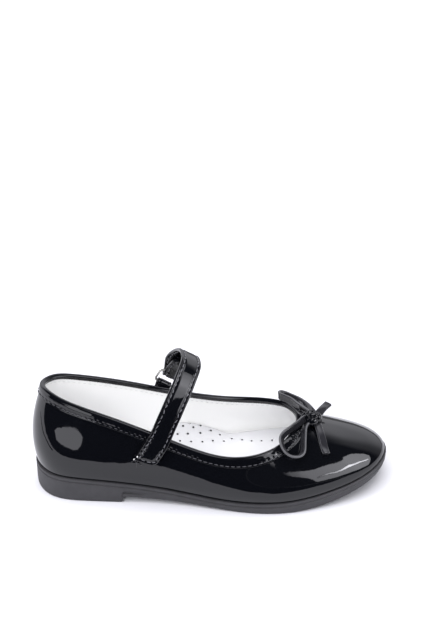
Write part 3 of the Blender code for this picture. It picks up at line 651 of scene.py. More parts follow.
def band_relief(depth):
    """Height in mm of the outer leg at a depth: the bead, the stitch line's valley and its needle holes."""
    bead = 0.12 * np.sin(np.pi * np.clip(depth / 4.0, 0, 1)) ** 2
    valley = -0.05 * drawn * np.exp(-(((depth - STITCH_DEPTH) / 0.4) ** 2))
    hole = -0.20 * drawn * np.exp(-((depth - STITCH_DEPTH) ** 2 + to_hole**2) / 0.4**2)
    pucker = -0.20 * drawn * np.exp(-((to_hole / 0.8) ** 2)) * np.exp(-(((depth - 3.3) / 1.0) ** 2))
    uneven = 0.04 * wave(along_rim + 2.2 * depth, 17) * np.clip((5 - depth) / 3, 0, 1)
    return bead + valley + hole + pucker + uneven


overlap_at = along_rim[np.argmin(np.linalg.norm(topline - OVERLAP_PLACE, axis=1))]


def overlap(depth):
    """The upper end of the strip lies over the lower one, along a slanted cut."""
    past = along_rim - overlap_at - 0.8 * (depth - 2.0)
    return 0.38 * np.clip(past / 0.3, 0, 1) * np.clip(1 - past / 9, 0, 1) ** 2


print(f"the band's ends overlap {overlap_at:.0f} mm round from the heel")

# %% Fold the band
# the rows of the outer leg, closest together at the stitch line
LEG_DEPTHS = (
    5.35, 5.2, 5.0, 4.8, 4.65, 4.5, 4.4, 4.3, 4.2, 4.1, 3.95, 3.8, 3.6, 3.3, 3.0, 2.5, 2.0, 1.5, 1.0,
    0.5, 0.0,
)
BAND_THICK, FOLD_RISE = 0.5, 0.85
band_rows = []


def band_row(depth, out, rise=0.0, relief=0.0):
    """Adds the ring of points at a depth down the wall that stands out from it by some mm."""
    here, off, up, _ = rim_frame(rim_columns, depth)
    out = np.broadcast_to(out + relief, len(rim_columns))[:, None]
    band_rows.append(here + off * out + up * rise)


# the outer leg from its lower edge up
band_row(BAND_DEPTH, BAND_NEAR)
band_row(BAND_DEPTH, BAND_NEAR + 0.08)
for depth in LEG_DEPTHS:
    face = BAND_FAR + (band_lip - BAND_FAR) * depth / BAND_DEPTH
    band_row(depth, face, 0.0, band_relief(depth) + overlap(depth))
# the fold over the topline
half_wide = (BAND_FAR + BAND_INSIDE + BAND_THICK) / 2
for turn in np.radians(np.arange(15, 180, 15)):
    band_row(0.0, BAND_FAR - half_wide + half_wide * np.cos(turn), FOLD_RISE * np.sin(turn), overlap(0.0))
# the inner leg, whose cut edge the thread draws into small ticks, most of all round the throat
ticks = 1.7 + 0.8 * np.abs(np.mod(2 * along_rim / stitch_step, 1) - 0.5) * drawn
for depth in (0.0, 0.5, 1.0, 1.4):
    band_row(depth, -BAND_INSIDE - BAND_THICK)
for depth, thick in ((ticks, 0.45), (ticks + 0.1, 0.3), (ticks + 0.1, 0.0), (1.0, 0.0), (0.0, 0.0)):
    band_row(depth, -BAND_INSIDE - thick)
# back over the topline and down, close to the leather
band_row(0.0, -BAND_INSIDE + 0.2, 0.3)
band_row(0.0, BAND_NEAR - 0.2, 0.3)
for depth in (0.0, 1.0, 2.0, 3.0, 4.0, 4.8):
    band_row(depth, BAND_NEAR)
bm = new_mesh()
lay_grid(bm, band_rows, close_rows=True, close_columns=True)
weld(bm)
collar = make_piece(bm, "collar_band", patent_strip)
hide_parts("collar_band")

# %% [markdown]
# ## Stitches
#
# A stitch is a short length of thread that rises from one needle hole and dives into the next. Seen
# from a few centimetres it is a grain of rice, so each one is a small UV sphere, stretched along the
# seam and pressed down. Hundreds of them are needed, and each has only a few dozen faces.


# %% Sewing
def sew(name, seats, onward, off, finish, length=2.4, thread=0.65, sink=0.05):
    """A stitch at each seat, in mm, lying along onward with off as its upward side."""
    bm = new_mesh()
    for seat, ahead, up in zip(np.asarray(seats), unit(onward), unit(off)):
        side = np.cross(up, ahead)
        frame_axes = np.column_stack([side * thread / 2, up * thread * 0.45, ahead * length / 2]) * MM
        place = Matrix.Translation(in_scene(seat - up * sink)) @ Matrix(frame_axes.tolist()).to_4x4()
        bmesh.ops.create_uvsphere(bm, u_segments=6, v_segments=5, radius=1, matrix=place)
    return make_piece(bm, name, finish)


middles = (np.arange(STITCHES) + 0.5) * PER_STITCH
seat_columns = np.interp(middles, np.arange(len(rim_columns) + 1), np.append(rim_columns, len(RIBS)))
here, off, _, onward = rim_frame(seat_columns, STITCH_DEPTH)
sew("collar_stitches", here + off * (BAND_FAR - 0.10), onward, off, black_thread_painted_sheen)
sew("lining_stitches", here - off * (WALL + 0.12), onward, -off, white_thread, 1.9, 0.45)

# %% [markdown]
# ## Rubber sole
#
# The unit sole is moulded in one piece: a thin wedge with a low heel block, a rounded lip where it meets
# the leather, a groove under the lip, and a tread of fine waves. A flat outline with a bevel would give
# the same step all the way round. So the side is one profile carried round the foot, and the top and
# the tread are grids between the two sides of the same outline. All three share their edge and weld
# into one closed body.

# %% Outline of the sole
STATIONS = 220


def foot_outline(shares, out=0.0):
    """The foot edge moved out by some mm, as a ring with its two sides at the same stations."""
    loop = spline(np.arange(len(RIBS)), RIBS[:, :2], round_foot(1440), period=len(RIBS))
    way = np.roll(loop, -1, axis=0) - np.roll(loop, 1, axis=0)
    loop = loop + out * unit(np.stack([way[:, 1], -way[:, 0]], axis=1))
    loop = np.roll(loop, -np.argmin(loop[:, 0]), axis=0)
    toe = np.argmax(loop[:, 0])
    outer, inner = loop[: toe + 1], np.vstack([loop[toe:], loop[:1]])[::-1]
    x = loop[0, 0] + (loop[toe, 0] - loop[0, 0]) * np.asarray(shares)
    outer_y, inner_y = np.interp(x, outer[:, 0], outer[:, 1]), np.interp(x, inner[:, 0], inner[:, 1])
    return np.concatenate([np.stack([x, outer_y], 1), np.stack([x, inner_y], 1)[-2:0:-1]])


shares = (1 - np.cos(np.linspace(0, np.pi, STATIONS))) / 2
# two stations close together make the heel breast a clean step
breast = HEEL_BREAST / SOLE_SIDE[-1, 0]
shares = shares[abs(shares - breast) > 0.003]
shares = np.sort(np.append(shares, [breast - 0.0015, breast + 0.0015]))
print(len(shares), "stations along the sole")

# %% Sole
# mm out past the foot edge and mm up from the sole's top edge, from the lip down through its groove
LIP_PROFILE = (
    (0.50, 0.0), (0.78, -0.04), (0.94, -0.2), (1.0, -0.45), (1.0, -1.2), (0.94, -1.5), (0.72, -1.75),
    (0.52, -1.9), (0.45, -2.1), (0.55, -2.35), (0.80, -2.6), (0.92, -2.9), (0.90, -3.4),
)
# the slot beside the heel block: mm out, mm up from the underside, mm cut in
SLOT_PROFILE = ((0.88, 3.6, 0.0), (0.86, 3.45, 1.1), (0.84, 2.5, 1.1), (0.80, 2.3, 0.0))
# the rounded bottom edge: mm out, mm up from the underside
BASE_PROFILE = ((0.72, 1.6), (0.62, 0.9), (0.45, 0.4), (0.15, 0.1), (-0.2, 0.0))
SLOT_LENGTH = 16.0
TREAD_PITCH, TREAD_DEPTH, TREAD_MARGIN = 3.2, 0.55, 5.0


def underside(x):
    """Height of the sole's underside, with its heel block."""
    return np.where(x < HEEL_BREAST, 0.0, np.maximum(sole_under(x), 0.0))


side_rows = []


def side_row(out, up, level, cut_in=0.0, apart=0.0):
    """Adds a row round the side, kept below the row above it. A cut runs out from the heel block."""
    ring, deep = foot_outline(shares, out), foot_outline(shares, out - cut_in)
    x = ring[:, 0]
    cut = (np.clip(1 - (x - HEEL_BREAST) / SLOT_LENGTH, 0, 1) * (x > HEEL_BREAST))[:, None]
    height = level(x) + up
    if side_rows:
        height = np.minimum(height, side_rows[-1][:, 2] - apart)
    side_rows.append(np.column_stack([ring * (1 - cut) + deep * cut, height]))


for out, up in LIP_PROFILE:
    side_row(out, up, sole_top)
for out, up, cut_in in SLOT_PROFILE:
    side_row(out, up, underside, cut_in, 0.05)
for out, up in BASE_PROFILE:
    side_row(out, up, underside)
print(len(side_rows), "rows round the side of the sole")

# %% Top, tread and body of the sole
def across_sole(ring, count, height, relief=None):
    """Rows from the outer to the inner side of one ring of the sole."""
    n = len(shares)
    outer, inner = ring[:n], np.vstack([ring[:1], ring[: n - 1 : -1][: n - 2], ring[n - 1 : n]])
    t = np.linspace(0, 1, count)[None, :, None]
    rows = outer[:, None] * (1 - t) + inner[:, None] * t
    rows[:, 1:-1, 2] = height(rows[:, 1:-1, 0])
    if relief is not None:
        from_edge = np.linalg.norm(inner - outer, axis=1)[:, None] * np.minimum(t, 1 - t)[..., 0]
        rows[..., 2] += relief(rows, from_edge)
    return rows


def tread(rows, from_edge):
    """Heights of the moulded waves, which start inside a plain border."""
    x, y = rows[..., 0], rows[..., 1]
    along = x + 1.1 * wave(y, 13)
    ridge = np.clip(0.5 + 1.6 * wave(along, TREAD_PITCH), 0, 1)
    inside = np.clip((from_edge - TREAD_MARGIN) / 1.0, 0, 1)
    inside = inside * np.clip((x - 6) / 1.5, 0, 1) * np.clip((199 - x) / 1.5, 0, 1)
    inside = inside * np.clip((abs(x - HEEL_BREAST) - 3) / 1.0, 0, 1)
    return TREAD_DEPTH * ridge * inside


bm = new_mesh()
lay_grid(bm, side_rows, close_columns=True)
lay_grid(bm, across_sole(side_rows[0], 10, sole_top))
lay_grid(bm, across_sole(side_rows[-1], 64, underside, tread))
weld(bm)
sole = make_piece(bm, "rubber_sole", rubber)
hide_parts("outsole")

# %% [markdown]
# ## Insole
#
# The insole is a white leather cover over a thin foam, with a field of small punched holes under the arch
# that let the foot breathe. The sheet is a grid with a rounded edge. The holes could be dark dots in
# the material, but light has to fall on their rims, so a Boolean cuts them with one mesh of short pins,
# and the result is kept as the piece's own mesh.

# %% Insole
INSOLE_TOP = 4.8      # the cover's height over the sole's top edge
INSOLE_CLEAR = 0.6
INSOLE_LEAN = 1.3     # the edge stands in by this share of the wall's lean over it
PUNCH = 1.25          # hole diameter

insole_columns = round_foot(288)
curve, _ = rib_curves(insole_columns)
foot = curve[:, 0, :2]
way = np.roll(foot, -1, axis=0) - np.roll(foot, 1, axis=0)
plan_out = unit(np.stack([way[:, 1], -way[:, 0]], axis=1))


def on_ribs(heights, samples):
    """Where each rib passes a height, as x and y, looked up among the lowest points of the rib."""
    lows = zip(curve[:, :samples], heights)
    return np.array([[np.interp(z, low[:, 2], low[:, k]) for k in (0, 1)] for low, z in lows])


leaning = on_ribs(sole_top(curve[:, 0, 0]) + INSOLE_TOP, 40) - foot
leaning = np.maximum(-(leaning * plan_out).sum(axis=1), 0)


def insole_edge(inset, up, curled=1.0):
    """A ring near the insole's border, which curls up the wall under the arch of the foot."""
    on_rib = on_ribs(sole_top(curve[:, 0, 0]) + up + curl * curled, 60)
    flat_edge = foot - plan_out * (WALL + INSOLE_CLEAR + inset + INSOLE_LEAN * leaning)[:, None]
    share = np.clip(curl * curled / 3, 0, 1)[:, None]
    edge = flat_edge * (1 - share) + (on_rib - plan_out * (WALL + 0.35 + inset)) * share
    return np.column_stack([edge, sole_top(edge[:, 0]) + up + curl * curled])


def insole_sheet(edge, shares_in, up, curled=1.0):
    """Rings from an edge in to the middle line, which closes them like a fan."""
    rings = []
    middle = edge.copy()
    middle[:, 0] = np.clip(edge[:, 0], 26, 178)
    middle[:, 1] = np.interp(middle[:, 0], [26, 100, 178], [0, -2.5, 5])
    for share in shares_in:
        ring = edge * (1 - share) + middle * share
        ring[:, 2] = sole_top(ring[:, 0]) + up + curl * curled * (1 - share) ** 4
        rings.append(ring)
    return rings


# the cover curls up the inner side, under the arch
curl = 8.0 * np.clip(1 - ((foot[:, 0] - 88) / 26) ** 2, 0, 1) ** 1.5 * (foot[:, 1] > 0)
inward = [0.03, 0.06, 0.1, 0.14, 0.19, 0.25, 0.32, 0.4, 0.5, 0.6, 0.72, 0.86, 1.0]
bottom_up = WALL + 2 * GAP
rows = [insole_edge(0, bottom_up, 0.75)]
ROUNDING = ((0, 0.7), (0.1, 0.35), (0.3, 0.12), (0.7, 0))    # mm in from the edge and mm below the top
rows += [insole_edge(inset, INSOLE_TOP - drop) for inset, drop in ROUNDING]
top = insole_sheet(rows[-1], inward, INSOLE_TOP)
bottom = insole_sheet(rows[0], inward, bottom_up, 0.75)
bm = new_mesh()
lay_grid(bm, bottom[::-1] + rows + top, close_columns=True)
weld(bm)
insole = make_piece(bm, "insole_cover", insole_grey_painted_shade)
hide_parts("insole")

# %% Punched holes
# x and y of the holes that curve round the arch of the foot
PUNCHES = (
    (83.7, 14.6), (90.3, 15.1), (97, 16.1), (103.3, 18.3), (109.9, 19.1), (114.7, 22.3), (120.9, 21),
    (126.5, 19.7), (132.5, 19.5), (138.8, 19.9), (107.6, 24.3), (82.2, 18.8), (88.4, 19.8),
    (95.8, 21.8), (85.5, 23.1), (91.6, 23.7), (102.2, 25.4), (89.4, 25.3), (96, 25.8),
)
PUNCH_DEPTH = 1.6
# the walls of the punched holes are a dark grey, which darkens the holes
hole_wall_grey, _, _ = new_finish("dark grey walls of the punched holes", Base_Color=linear("#2E2E30"), Roughness=0.9)
bpy.context.view_layer.update()
cover = BVHTree.FromObject(insole, bpy.context.evaluated_depsgraph_get())
bm = new_mesh()
for x, y in PUNCHES:
    start = Vector(in_scene([x, y, 60]))
    spot, off, _, _ = cover.ray_cast(start, Vector((0, 0, -1)))
    place = Matrix.Translation(spot) @ off.to_track_quat("Z", "Y").to_matrix().to_4x4()
    bmesh.ops.create_cone(
        bm, cap_ends=True, segments=12, radius1=PUNCH / 2 * MM, radius2=PUNCH / 2 * MM,
        depth=PUNCH_DEPTH * MM, matrix=place,
    )
punch_mesh = bpy.data.meshes.new("punch")
bm.to_mesh(punch_mesh)
bm.free()
punch_mesh.materials.append(hole_wall_grey)
punch = bpy.data.objects.new("punch", punch_mesh)
bpy.context.scene.collection.objects.link(punch)
cut = insole.modifiers.new("punch", "BOOLEAN")
cut.operation, cut.object, cut.solver, cut.material_mode = "DIFFERENCE", punch, "EXACT", "TRANSFER"


def keep_result(piece):
    """Makes what the modifiers give the piece's own mesh."""
    graph = bpy.context.evaluated_depsgraph_get()
    result = bpy.data.meshes.new_from_object(piece.evaluated_get(graph), depsgraph=graph)
    piece.modifiers.clear()
    piece.data = result
    print(piece.name, "now has", len(result.polygons), "faces")


keep_result(insole)
bpy.data.objects.remove(punch)

# %% [markdown]
# ## Strap
#
# The strap is cut from patent leather, folded in at its edges over a thin foam and sewn about 2 mm from
# the edge, so its edge is a round bead, the stitch line a sharp valley and its middle softly padded. It
# lies against the outer side, rises over the instep, turns round the ring's upper bar and comes back on
# itself. A flat ribbon with a Solidify modifier would have square edges, so the strap is laid as two
# skins between its two edges, and the height of each at a point follows from the distance to the strap's
# own outline on the cutting table.

# %% The strap's leaning plane
STRAP_LEAN = 28.5
STRAP_FOOT_X, STRAP_FOOT_Z = 67.5, 35.0
STRAP_WIDTH, STRAP_END_WIDTH, STRAP_THICK = 12.4, 9.0, 2.0
STRAP_CLEAR = 1.0
RING_WIRE, RING_INSIDE, RING_CORNER = 1.5, 11.0, 2.6
RING_TOP_BAR, RING_LOW_BAR = (26.2, 23.4), (27.9, 14.2)    # across the foot and up the plane
NARROW_FROM = 31.0    # height from which the strap narrows towards its inner end
# height of the heelward edge, height of the toeward edge and how far that edge stands to the toe
STRAP_END = (
    (-7.2, -5.6, 0.4), (-7.0, -5.2, 2.6), (-6.4, -4.3, 4.4), (-5.2, -2.8, 5.7), (-3.0, -0.6, 6.2),
    (0.0, 1.6, 6.2), (4.0, 4.6, 6.2), (7.2, 7.2, 6.2), (10.4, 10.4, 6.2),
)
# across the foot, up the plane and aside towards the toe
STRAP_ARCH = (
    (-27.5, 16.5, -0.4), (-26.6, 22.0, -1.0), (-24.4, 28.4, -1.3), (-20.8, 34.8, -1.4), (-16.4, 41.1, -1.3),
    (-10.7, 46.2, -1.1), (-4.1, 49.6, -0.6), (2.8, 49.8, -0.6), (9.2, 48.4, -0.9), (15.4, 44.9, -1.4),
    (20.6, 40.1, -1.7), (24.4, 34.6, -1.8), (26.8, 29.0, -1.2), (28.0, 25.0, -0.4),
)
STRAP_RETURN = ((24.2, 24.4, 0.0), (24.3, 27.0, 0.0), (22.5, 32.0, 0.0), (19.9, 36.8, 0.0))


def arch_point(across, up, aside=0.0):
    """A point of the leaning plane: across the foot, up the plane, and aside towards the toe."""
    lean = np.radians(STRAP_LEAN)
    across, up, aside = np.broadcast_arrays(across, up, aside)
    return np.stack([
        STRAP_FOOT_X + up * np.sin(lean) + aside * np.cos(lean), across,
        STRAP_FOOT_Z + up * np.cos(lean) - aside * np.sin(lean),
    ], axis=-1).astype(float)


def fold(centre, radius, start, stop, steps):
    """Points round a bar, from one angle to another."""
    turn = np.radians(np.linspace(start, stop, steps))
    return [(centre[0] + radius * np.cos(a), centre[1] + radius * np.sin(a)) for a in turn]


bpy.context.view_layer.update()
graph = bpy.context.evaluated_depsgraph_get()
leather_tree = BVHTree.FromObject(upper, graph)


def against_wall(up, aside, off, inner_side=False):
    """The point of the leaning plane moved across until it stands off the leather by some mm."""
    sign = 1.0 if inner_side else -1.0
    x, _, z = arch_point(0.0, up, aside)
    start = Vector(in_scene([x, 60.0 * sign, z]))
    hit, _, _, _ = leather_tree.ray_cast(start, Vector((0, -sign, 0)))
    return np.array([x, hit.y / MM + sign * off + MIDDLE_Y, z])


print("strap crest:", arch_point(*STRAP_ARCH[7]).round(1))


# %% Padded sheets
def to_outline(places, outline):
    """Distance of flat places to an open or closed outline."""
    nearest = np.full(places.shape[:-1], 1e9)
    for start, end in zip(outline, np.roll(outline, -1, axis=0)):
        nearest = np.minimum(nearest, line_distance(places, start, end)[0])
    return nearest


def denser_ends(length, spacing, ends=0.7):
    """Places along a length that crowd together at both ends."""
    t = np.linspace(0, 1, int(length / spacing))
    return length * (t - ends * np.sin(2 * np.pi * t) / (2 * np.pi))


class Sheet:
    """A strip between two edges, with the place of each of its points on the cutting table."""

    def __init__(self, left, right, flat_left, flat_right, spacing=0.6, across=26):
        """Takes both edges in space and both on the table, the spacing along and the points across."""
        edges = np.hstack([left, right, flat_left, flat_right])
        knots = run_length((left + right) / 2)
        edges = spline(knots, edges, denser_ends(knots[-1], spacing))
        share = (1 - np.cos(np.linspace(0, np.pi, across))) / 2
        share = (0.65 * share + 0.35 * np.linspace(0, 1, across))[None, :, None]
        left, right, flat_left, flat_right = edges[:, :3], edges[:, 3:6], edges[:, 6:8], edges[:, 8:10]
        self.middle = left[:, None] * (1 - share) + right[:, None] * share
        self.flat = flat_left[:, None] * (1 - share) + flat_right[:, None] * share
        side = unit(right - left)
        self.along = unit(np.gradient((left + right) / 2, axis=0))
        self.over = unit(np.cross(side, self.along))
        self.outline = np.vstack([flat_left, flat_right[::-1]])[::3]
        self.from_edge = to_outline(self.flat, self.outline)

    def build(self, bm, above, below):
        """Two skins, the upper one above the middle and the other below, that meet at the outline."""
        lay_grid(bm, self.middle + self.over[:, None] * above[..., None])
        lay_grid(bm, self.middle - self.over[:, None] * below[..., None])
        weld(bm)

    def seats(self, inset, pitch, keep=None):
        """Places and directions of stitches at an inset from the outline."""
        loop = np.vstack([self.outline, self.outline[:1]])
        run = run_length(loop)
        even = np.linspace(0, run[-1], int(run[-1] / 0.25))
        loop = np.stack([np.interp(even, run, loop[:, k]) for k in (0, 1)], axis=1)
        way = unit(np.roll(loop, -1, axis=0) - np.roll(loop, 1, axis=0))
        inside = loop + inset * np.stack([way[:, 1], -way[:, 0]], axis=1)
        inside = inside[to_outline(inside, self.outline) > inset - 0.06]
        if keep is not None:
            inside = inside[keep(inside)]
        run = run_length(inside)
        even = np.arange(pitch / 2, run[-1], pitch)
        inside = np.stack([np.interp(even, run, inside[:, k]) for k in (0, 1)], axis=1)
        way = np.gradient(inside, axis=0)
        flat = self.flat.reshape(-1, 2)
        over = np.repeat(self.over[:, None], self.middle.shape[1], axis=1).reshape(-1, 3)

        def lift(places):
            """From the cutting table to the strip: points of its middle and directions off it."""
            out = []
            for place in places:
                near = np.argsort(((flat - place) ** 2).sum(axis=1))[:4]
                weight = 1 / (np.linalg.norm(flat[near] - place, axis=1) + 0.02)
                both = np.hstack([self.middle.reshape(-1, 3)[near], over[near]])
                out.append((both * weight[:, None]).sum(axis=0) / weight.sum())
            return np.array(out)

        here, ahead = lift(inside), lift(inside + 0.6 * unit(way))
        return inside, here[:, :3], ahead[:, :3] - here[:, :3], unit(here[:, 3:])


def rolled_edge(from_edge, half, radius):
    """Half thickness that rounds off to nothing at the outline."""
    t = np.clip(from_edge / radius, 0, 1)
    return half * np.sqrt(np.maximum(1 - (1 - t) ** 2, 0))


print("helpers for padded sheets are ready")

# %% Strap
half, end_half = STRAP_WIDTH / 2, STRAP_END_WIDTH / 2
left, right, flat_left, flat_right = [], [], [], []
for left_up, right_up, aside in STRAP_END:
    over_band = 0.8 * np.clip((left_up + right_up + 8) / 26, 0, 1)  # it rises gently over the collar band
    left.append(against_wall(left_up, -half, STRAP_CLEAR + over_band + STRAP_THICK / 2))
    right.append(against_wall(right_up, aside, STRAP_CLEAR + over_band + STRAP_THICK / 2))
    flat_left.append((-half, left_up))
    flat_right.append((aside, right_up))
arch, back = resampled(STRAP_ARCH, 34), resampled(STRAP_RETURN, 9)
turn = fold(RING_TOP_BAR, RING_WIRE / 2 + GAP + STRAP_THICK / 2, -20, -165, 10)
narrowing = np.clip((NARROW_FROM - arch[:, 1]) / (NARROW_FROM - RING_TOP_BAR[1]), 0, 1)
reach = np.where(arch[:, 0] > 0, half + (end_half - half) * narrowing, half)
to_end = np.linalg.norm(back[-1] - back, axis=1) + 0.4
rounded = np.sqrt(end_half**2 - np.maximum(end_half - to_end, 0) ** 2)
reach = np.concatenate([reach, np.full(len(turn), end_half), rounded])
path = np.concatenate([arch, np.column_stack([turn, np.zeros(len(turn))]), back])
left = np.array(left + list(arch_point(path[:, 0], path[:, 1], path[:, 2] - reach)))
right = np.array(right + list(arch_point(path[:, 0], path[:, 1], path[:, 2] + reach)))
middle = (left + right) / 2
onward = STRAP_END[-1][0] + run_length(middle[len(STRAP_END) - 1 :])[1:]
flat_left = np.vstack([flat_left, np.column_stack([-reach, onward])])
flat_right = np.vstack([flat_right, np.column_stack([reach, onward])])
strap_sheet = Sheet(left, right, flat_left, flat_right)

# %% Padding, seam and puckers of the strap
SEAM_IN = 2.05         # stitch line in from the strap's edge
STRAP_PITCH = 3.1
flat_seats, seats, seat_way, seat_off = strap_sheet.seats(SEAM_IN, STRAP_PITCH)
needle_holes = (flat_seats[1:] + flat_seats[:-1]) / 2


def to_holes(flat):
    """Distance of places on the cutting table to the nearest needle hole."""
    nearest = np.full(flat.shape[:-1], 1e9)
    for hole in needle_holes:
        nearest = np.minimum(nearest, np.linalg.norm(flat - hole, axis=-1))
    return nearest


from_edge, near_hole = strap_sheet.from_edge, to_holes(strap_sheet.flat)
above = rolled_edge(from_edge, STRAP_THICK / 2, 1.0)
on_bead = np.exp(-(((from_edge - 1.0) / 0.55) ** 2)) * np.clip(from_edge / 0.4, 0, 1)
above += 0.20 * on_bead - 0.36 * on_bead * np.exp(-((near_hole / 1.2) ** 2))
above -= 0.34 * np.exp(-(((from_edge - SEAM_IN) / 0.38) ** 2))
above -= 0.26 * np.exp(-((near_hole / 0.55) ** 2))
above += 0.14 * np.sin(np.clip((from_edge - 2.2) / 1.3, 0, 1) * np.pi / 2) ** 2
flat_x, flat_y = strap_sheet.flat[..., 0], strap_sheet.flat[..., 1]
above += 0.03 * wave(flat_y + 2 * flat_x, 27) * np.clip(from_edge - 2.2, 0, 1)
below = rolled_edge(from_edge, STRAP_THICK / 2, 0.8)
below -= 0.15 * np.exp(-(((from_edge - SEAM_IN) / 0.4) ** 2))
bm = new_mesh()
strap_sheet.build(bm, above, below)
strap = make_piece(bm, "instep_strap", patent_strip)
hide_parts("strap")
for side, name in ((1, "strap_stitches"), (-1, "strap_back_stitches")):
    sunk = STRAP_THICK / 2 - (0.22 if side > 0 else 0.08)
    sew(name, seats + side * seat_off * sunk, seat_way, side * seat_off, strap_thread_painted_sheen)

# %% Loose ends of thread at the strap's foot
TO_OUTER = [0.0, -1.0, 0.0]
# each end's seat up and aside from the strap's foot, and the way it lies, up and aside
LOOSE = ((-8.8, -4.4, -0.5, 0.9), (-9.8, -3.0, -1.0, 0.4), (-9.0, -1.4, -0.15, 1.0), (-8.4, -5.4, -0.9, -0.5))
seats = np.array([against_wall(up, aside, 0.3) for up, aside, _, _ in LOOSE])
lying = np.array([arch_point(0, up, aside) - arch_point(0, 0, 0) for _, _, up, aside in LOOSE])
sew("loose_threads", seats, lying, [TO_OUTER] * len(LOOSE), black_thread_painted_sheen, 4.6, 0.3)
# each knot's seat up and aside from the strap's foot, and how far it stands off
KNOTS = ((-6.6, -half - 0.1, 1.3), (-3.6, -half + 0.5, 2.2))
seats = np.array([against_wall(up, aside, STRAP_CLEAR + off) for up, aside, off in KNOTS])
sew("thread_knots", seats, [(0.5, 0.0, 1.0)] * 2, [TO_OUTER] * 2, white_thread, 1.1, 0.8)

# %% [markdown]
# ## Ring
#
# The ring is bent from round wire and plated. A circle of wire is extruded along each straight side and
# spun a quarter turn round each corner, which is how a wire bender makes it.

# %% Ring
WIRE_FACES = 16
top_bar, low_bar = arch_point(*RING_TOP_BAR), arch_point(*RING_LOW_BAR)
down_ring = unit(low_bar - top_bar)
toe_ward = unit(arch_point(0, 0, 1) - arch_point(0, 0, 0))
face_ring = np.cross(toe_ward, down_ring)
ring_half = (RING_INSIDE + RING_WIRE) / 2
ring_height = float(np.linalg.norm(low_bar - top_bar))

bm = new_mesh()
axes = Matrix(np.column_stack([face_ring, down_ring, toe_ward]).tolist()).to_4x4()
start = Matrix.Translation(in_scene(top_bar)) @ axes
wire = bmesh.ops.create_circle(bm, segments=WIRE_FACES, radius=RING_WIRE / 2 * MM, matrix=start)
loop = list({edge for vertex in wire["verts"] for edge in vertex.link_edges})
corner_at = top_bar.copy()
heading, turning_to = toe_ward, down_ring
sides = (ring_half - RING_CORNER, ring_height - 2 * RING_CORNER, 2 * (ring_half - RING_CORNER),
         ring_height - 2 * RING_CORNER, ring_half - RING_CORNER)
for number, side in enumerate(sides):
    made = bmesh.ops.extrude_edge_only(bm, edges=loop)["geom"]
    verts = [item for item in made if isinstance(item, bmesh.types.BMVert)]
    loop = [item for item in made if isinstance(item, bmesh.types.BMEdge)]
    loop = [edge for edge in loop if all(vertex in verts for vertex in edge.verts)]
    bmesh.ops.translate(bm, verts=verts, vec=Vector(heading * side * MM))
    corner_at = corner_at + heading * side
    if number == len(sides) - 1:
        break
    pivot = corner_at + turning_to * RING_CORNER
    turned = bmesh.ops.spin(
        bm, geom=loop + verts, cent=Vector(in_scene(pivot)), axis=Vector(np.cross(heading, turning_to)),
        angle=math.pi / 2, steps=8, use_merge=False, use_duplicate=False,
    )["geom_last"]
    loop = [item for item in turned if isinstance(item, bmesh.types.BMEdge)]
    corner_at = pivot + heading * RING_CORNER
    heading, turning_to = turning_to, -heading
bmesh.ops.remove_doubles(bm, verts=bm.verts, dist=1e-5)
ring = make_piece(bm, "strap_ring", nickel)
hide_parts("strap_ring")

# %% [markdown]
# ## Ring tab
#
# A short folded tab of the same leather is sewn to the inner side and holds the ring's lower bar.

# %% Tab
TAB_WIDTH, TAB_THICK, TAB_CLEAR = 8.8, 1.2, 0.85
TAB_UPS = (-7.0, -6.0, -4.6, -1.0, 2.0, 4.5, 6.5, 8.5, 10.5)
ROUNDED = (1.6, 0.5, 0.0)    # how far the first rows stand in from the width
insets = ROUNDED + (0.0,) * (len(TAB_UPS) - len(ROUNDED))
left, right = [], []


def tab_leg(ups, ends, off):
    """Lays both edges of one leg of the tab against the inner wall."""
    for up, inset in zip(ups, ends):
        left.append(against_wall(up, -TAB_WIDTH / 2 + inset, off, inner_side=True))
        right.append(against_wall(up, TAB_WIDTH / 2 - inset, off, inner_side=True))


tab_leg(TAB_UPS, insets, TAB_CLEAR + TAB_THICK / 2)
path = np.array(fold(RING_LOW_BAR, RING_WIRE / 2 + GAP + TAB_THICK / 2, 190, -10, 9))
left += list(arch_point(path[:, 0], path[:, 1], -TAB_WIDTH / 2))
right += list(arch_point(path[:, 0], path[:, 1], TAB_WIDTH / 2))
tab_leg(TAB_UPS[::-1], insets[::-1], TAB_CLEAR + 1.5 * TAB_THICK + GAP)
left, right = np.array(left), np.array(right)
onward = run_length((left + right) / 2)
wide = np.linalg.norm(right - left, axis=1) / 2
tab_sheet = Sheet(left, right, np.column_stack([-wide, onward]), np.column_stack([wide, onward]), 0.5, 20)
from_edge = tab_sheet.from_edge
swell = rolled_edge(from_edge, TAB_THICK / 2, 0.5) - 0.12 * np.exp(-(((from_edge - 1.4) / 0.35) ** 2))
bm = new_mesh()
tab_sheet.build(bm, swell, swell)
tab = make_piece(bm, "ring_tab", patent_strip)
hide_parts("ring_tab")
outer_leg = onward[-1] - 19
_, seats, way, off = tab_sheet.seats(1.4, 2.4, lambda flat: flat[:, 1] > outer_leg)
side = np.where((off @ [0, 1, 0])[:, None] > 0, 1, -1)
off = off * side
sew("tab_stitches", seats + off * (TAB_THICK / 2 - 0.1), way, off, black_thread_painted_sheen, 1.7, 0.4)

# %% [markdown]
# ## Bow
#
# The bow is a narrow double-faced strip of patent leather, folded into two loops and two short tails and
# wrapped at the middle by a knot. The strip stands nearly on edge, so its cut edges draw thin lighter
# lines round each loop. Every strip follows a table of places, with its turn from standing to lying.

# %% Ribbon tables
RIBBON_WIDTH, RIBBON_THICK = 4.8, 1.7
KNOT_PLACE = np.array([159.2, -2.8, 42.2])
KNOT_SIZE = np.array([11.4, 11.6, 8.8])
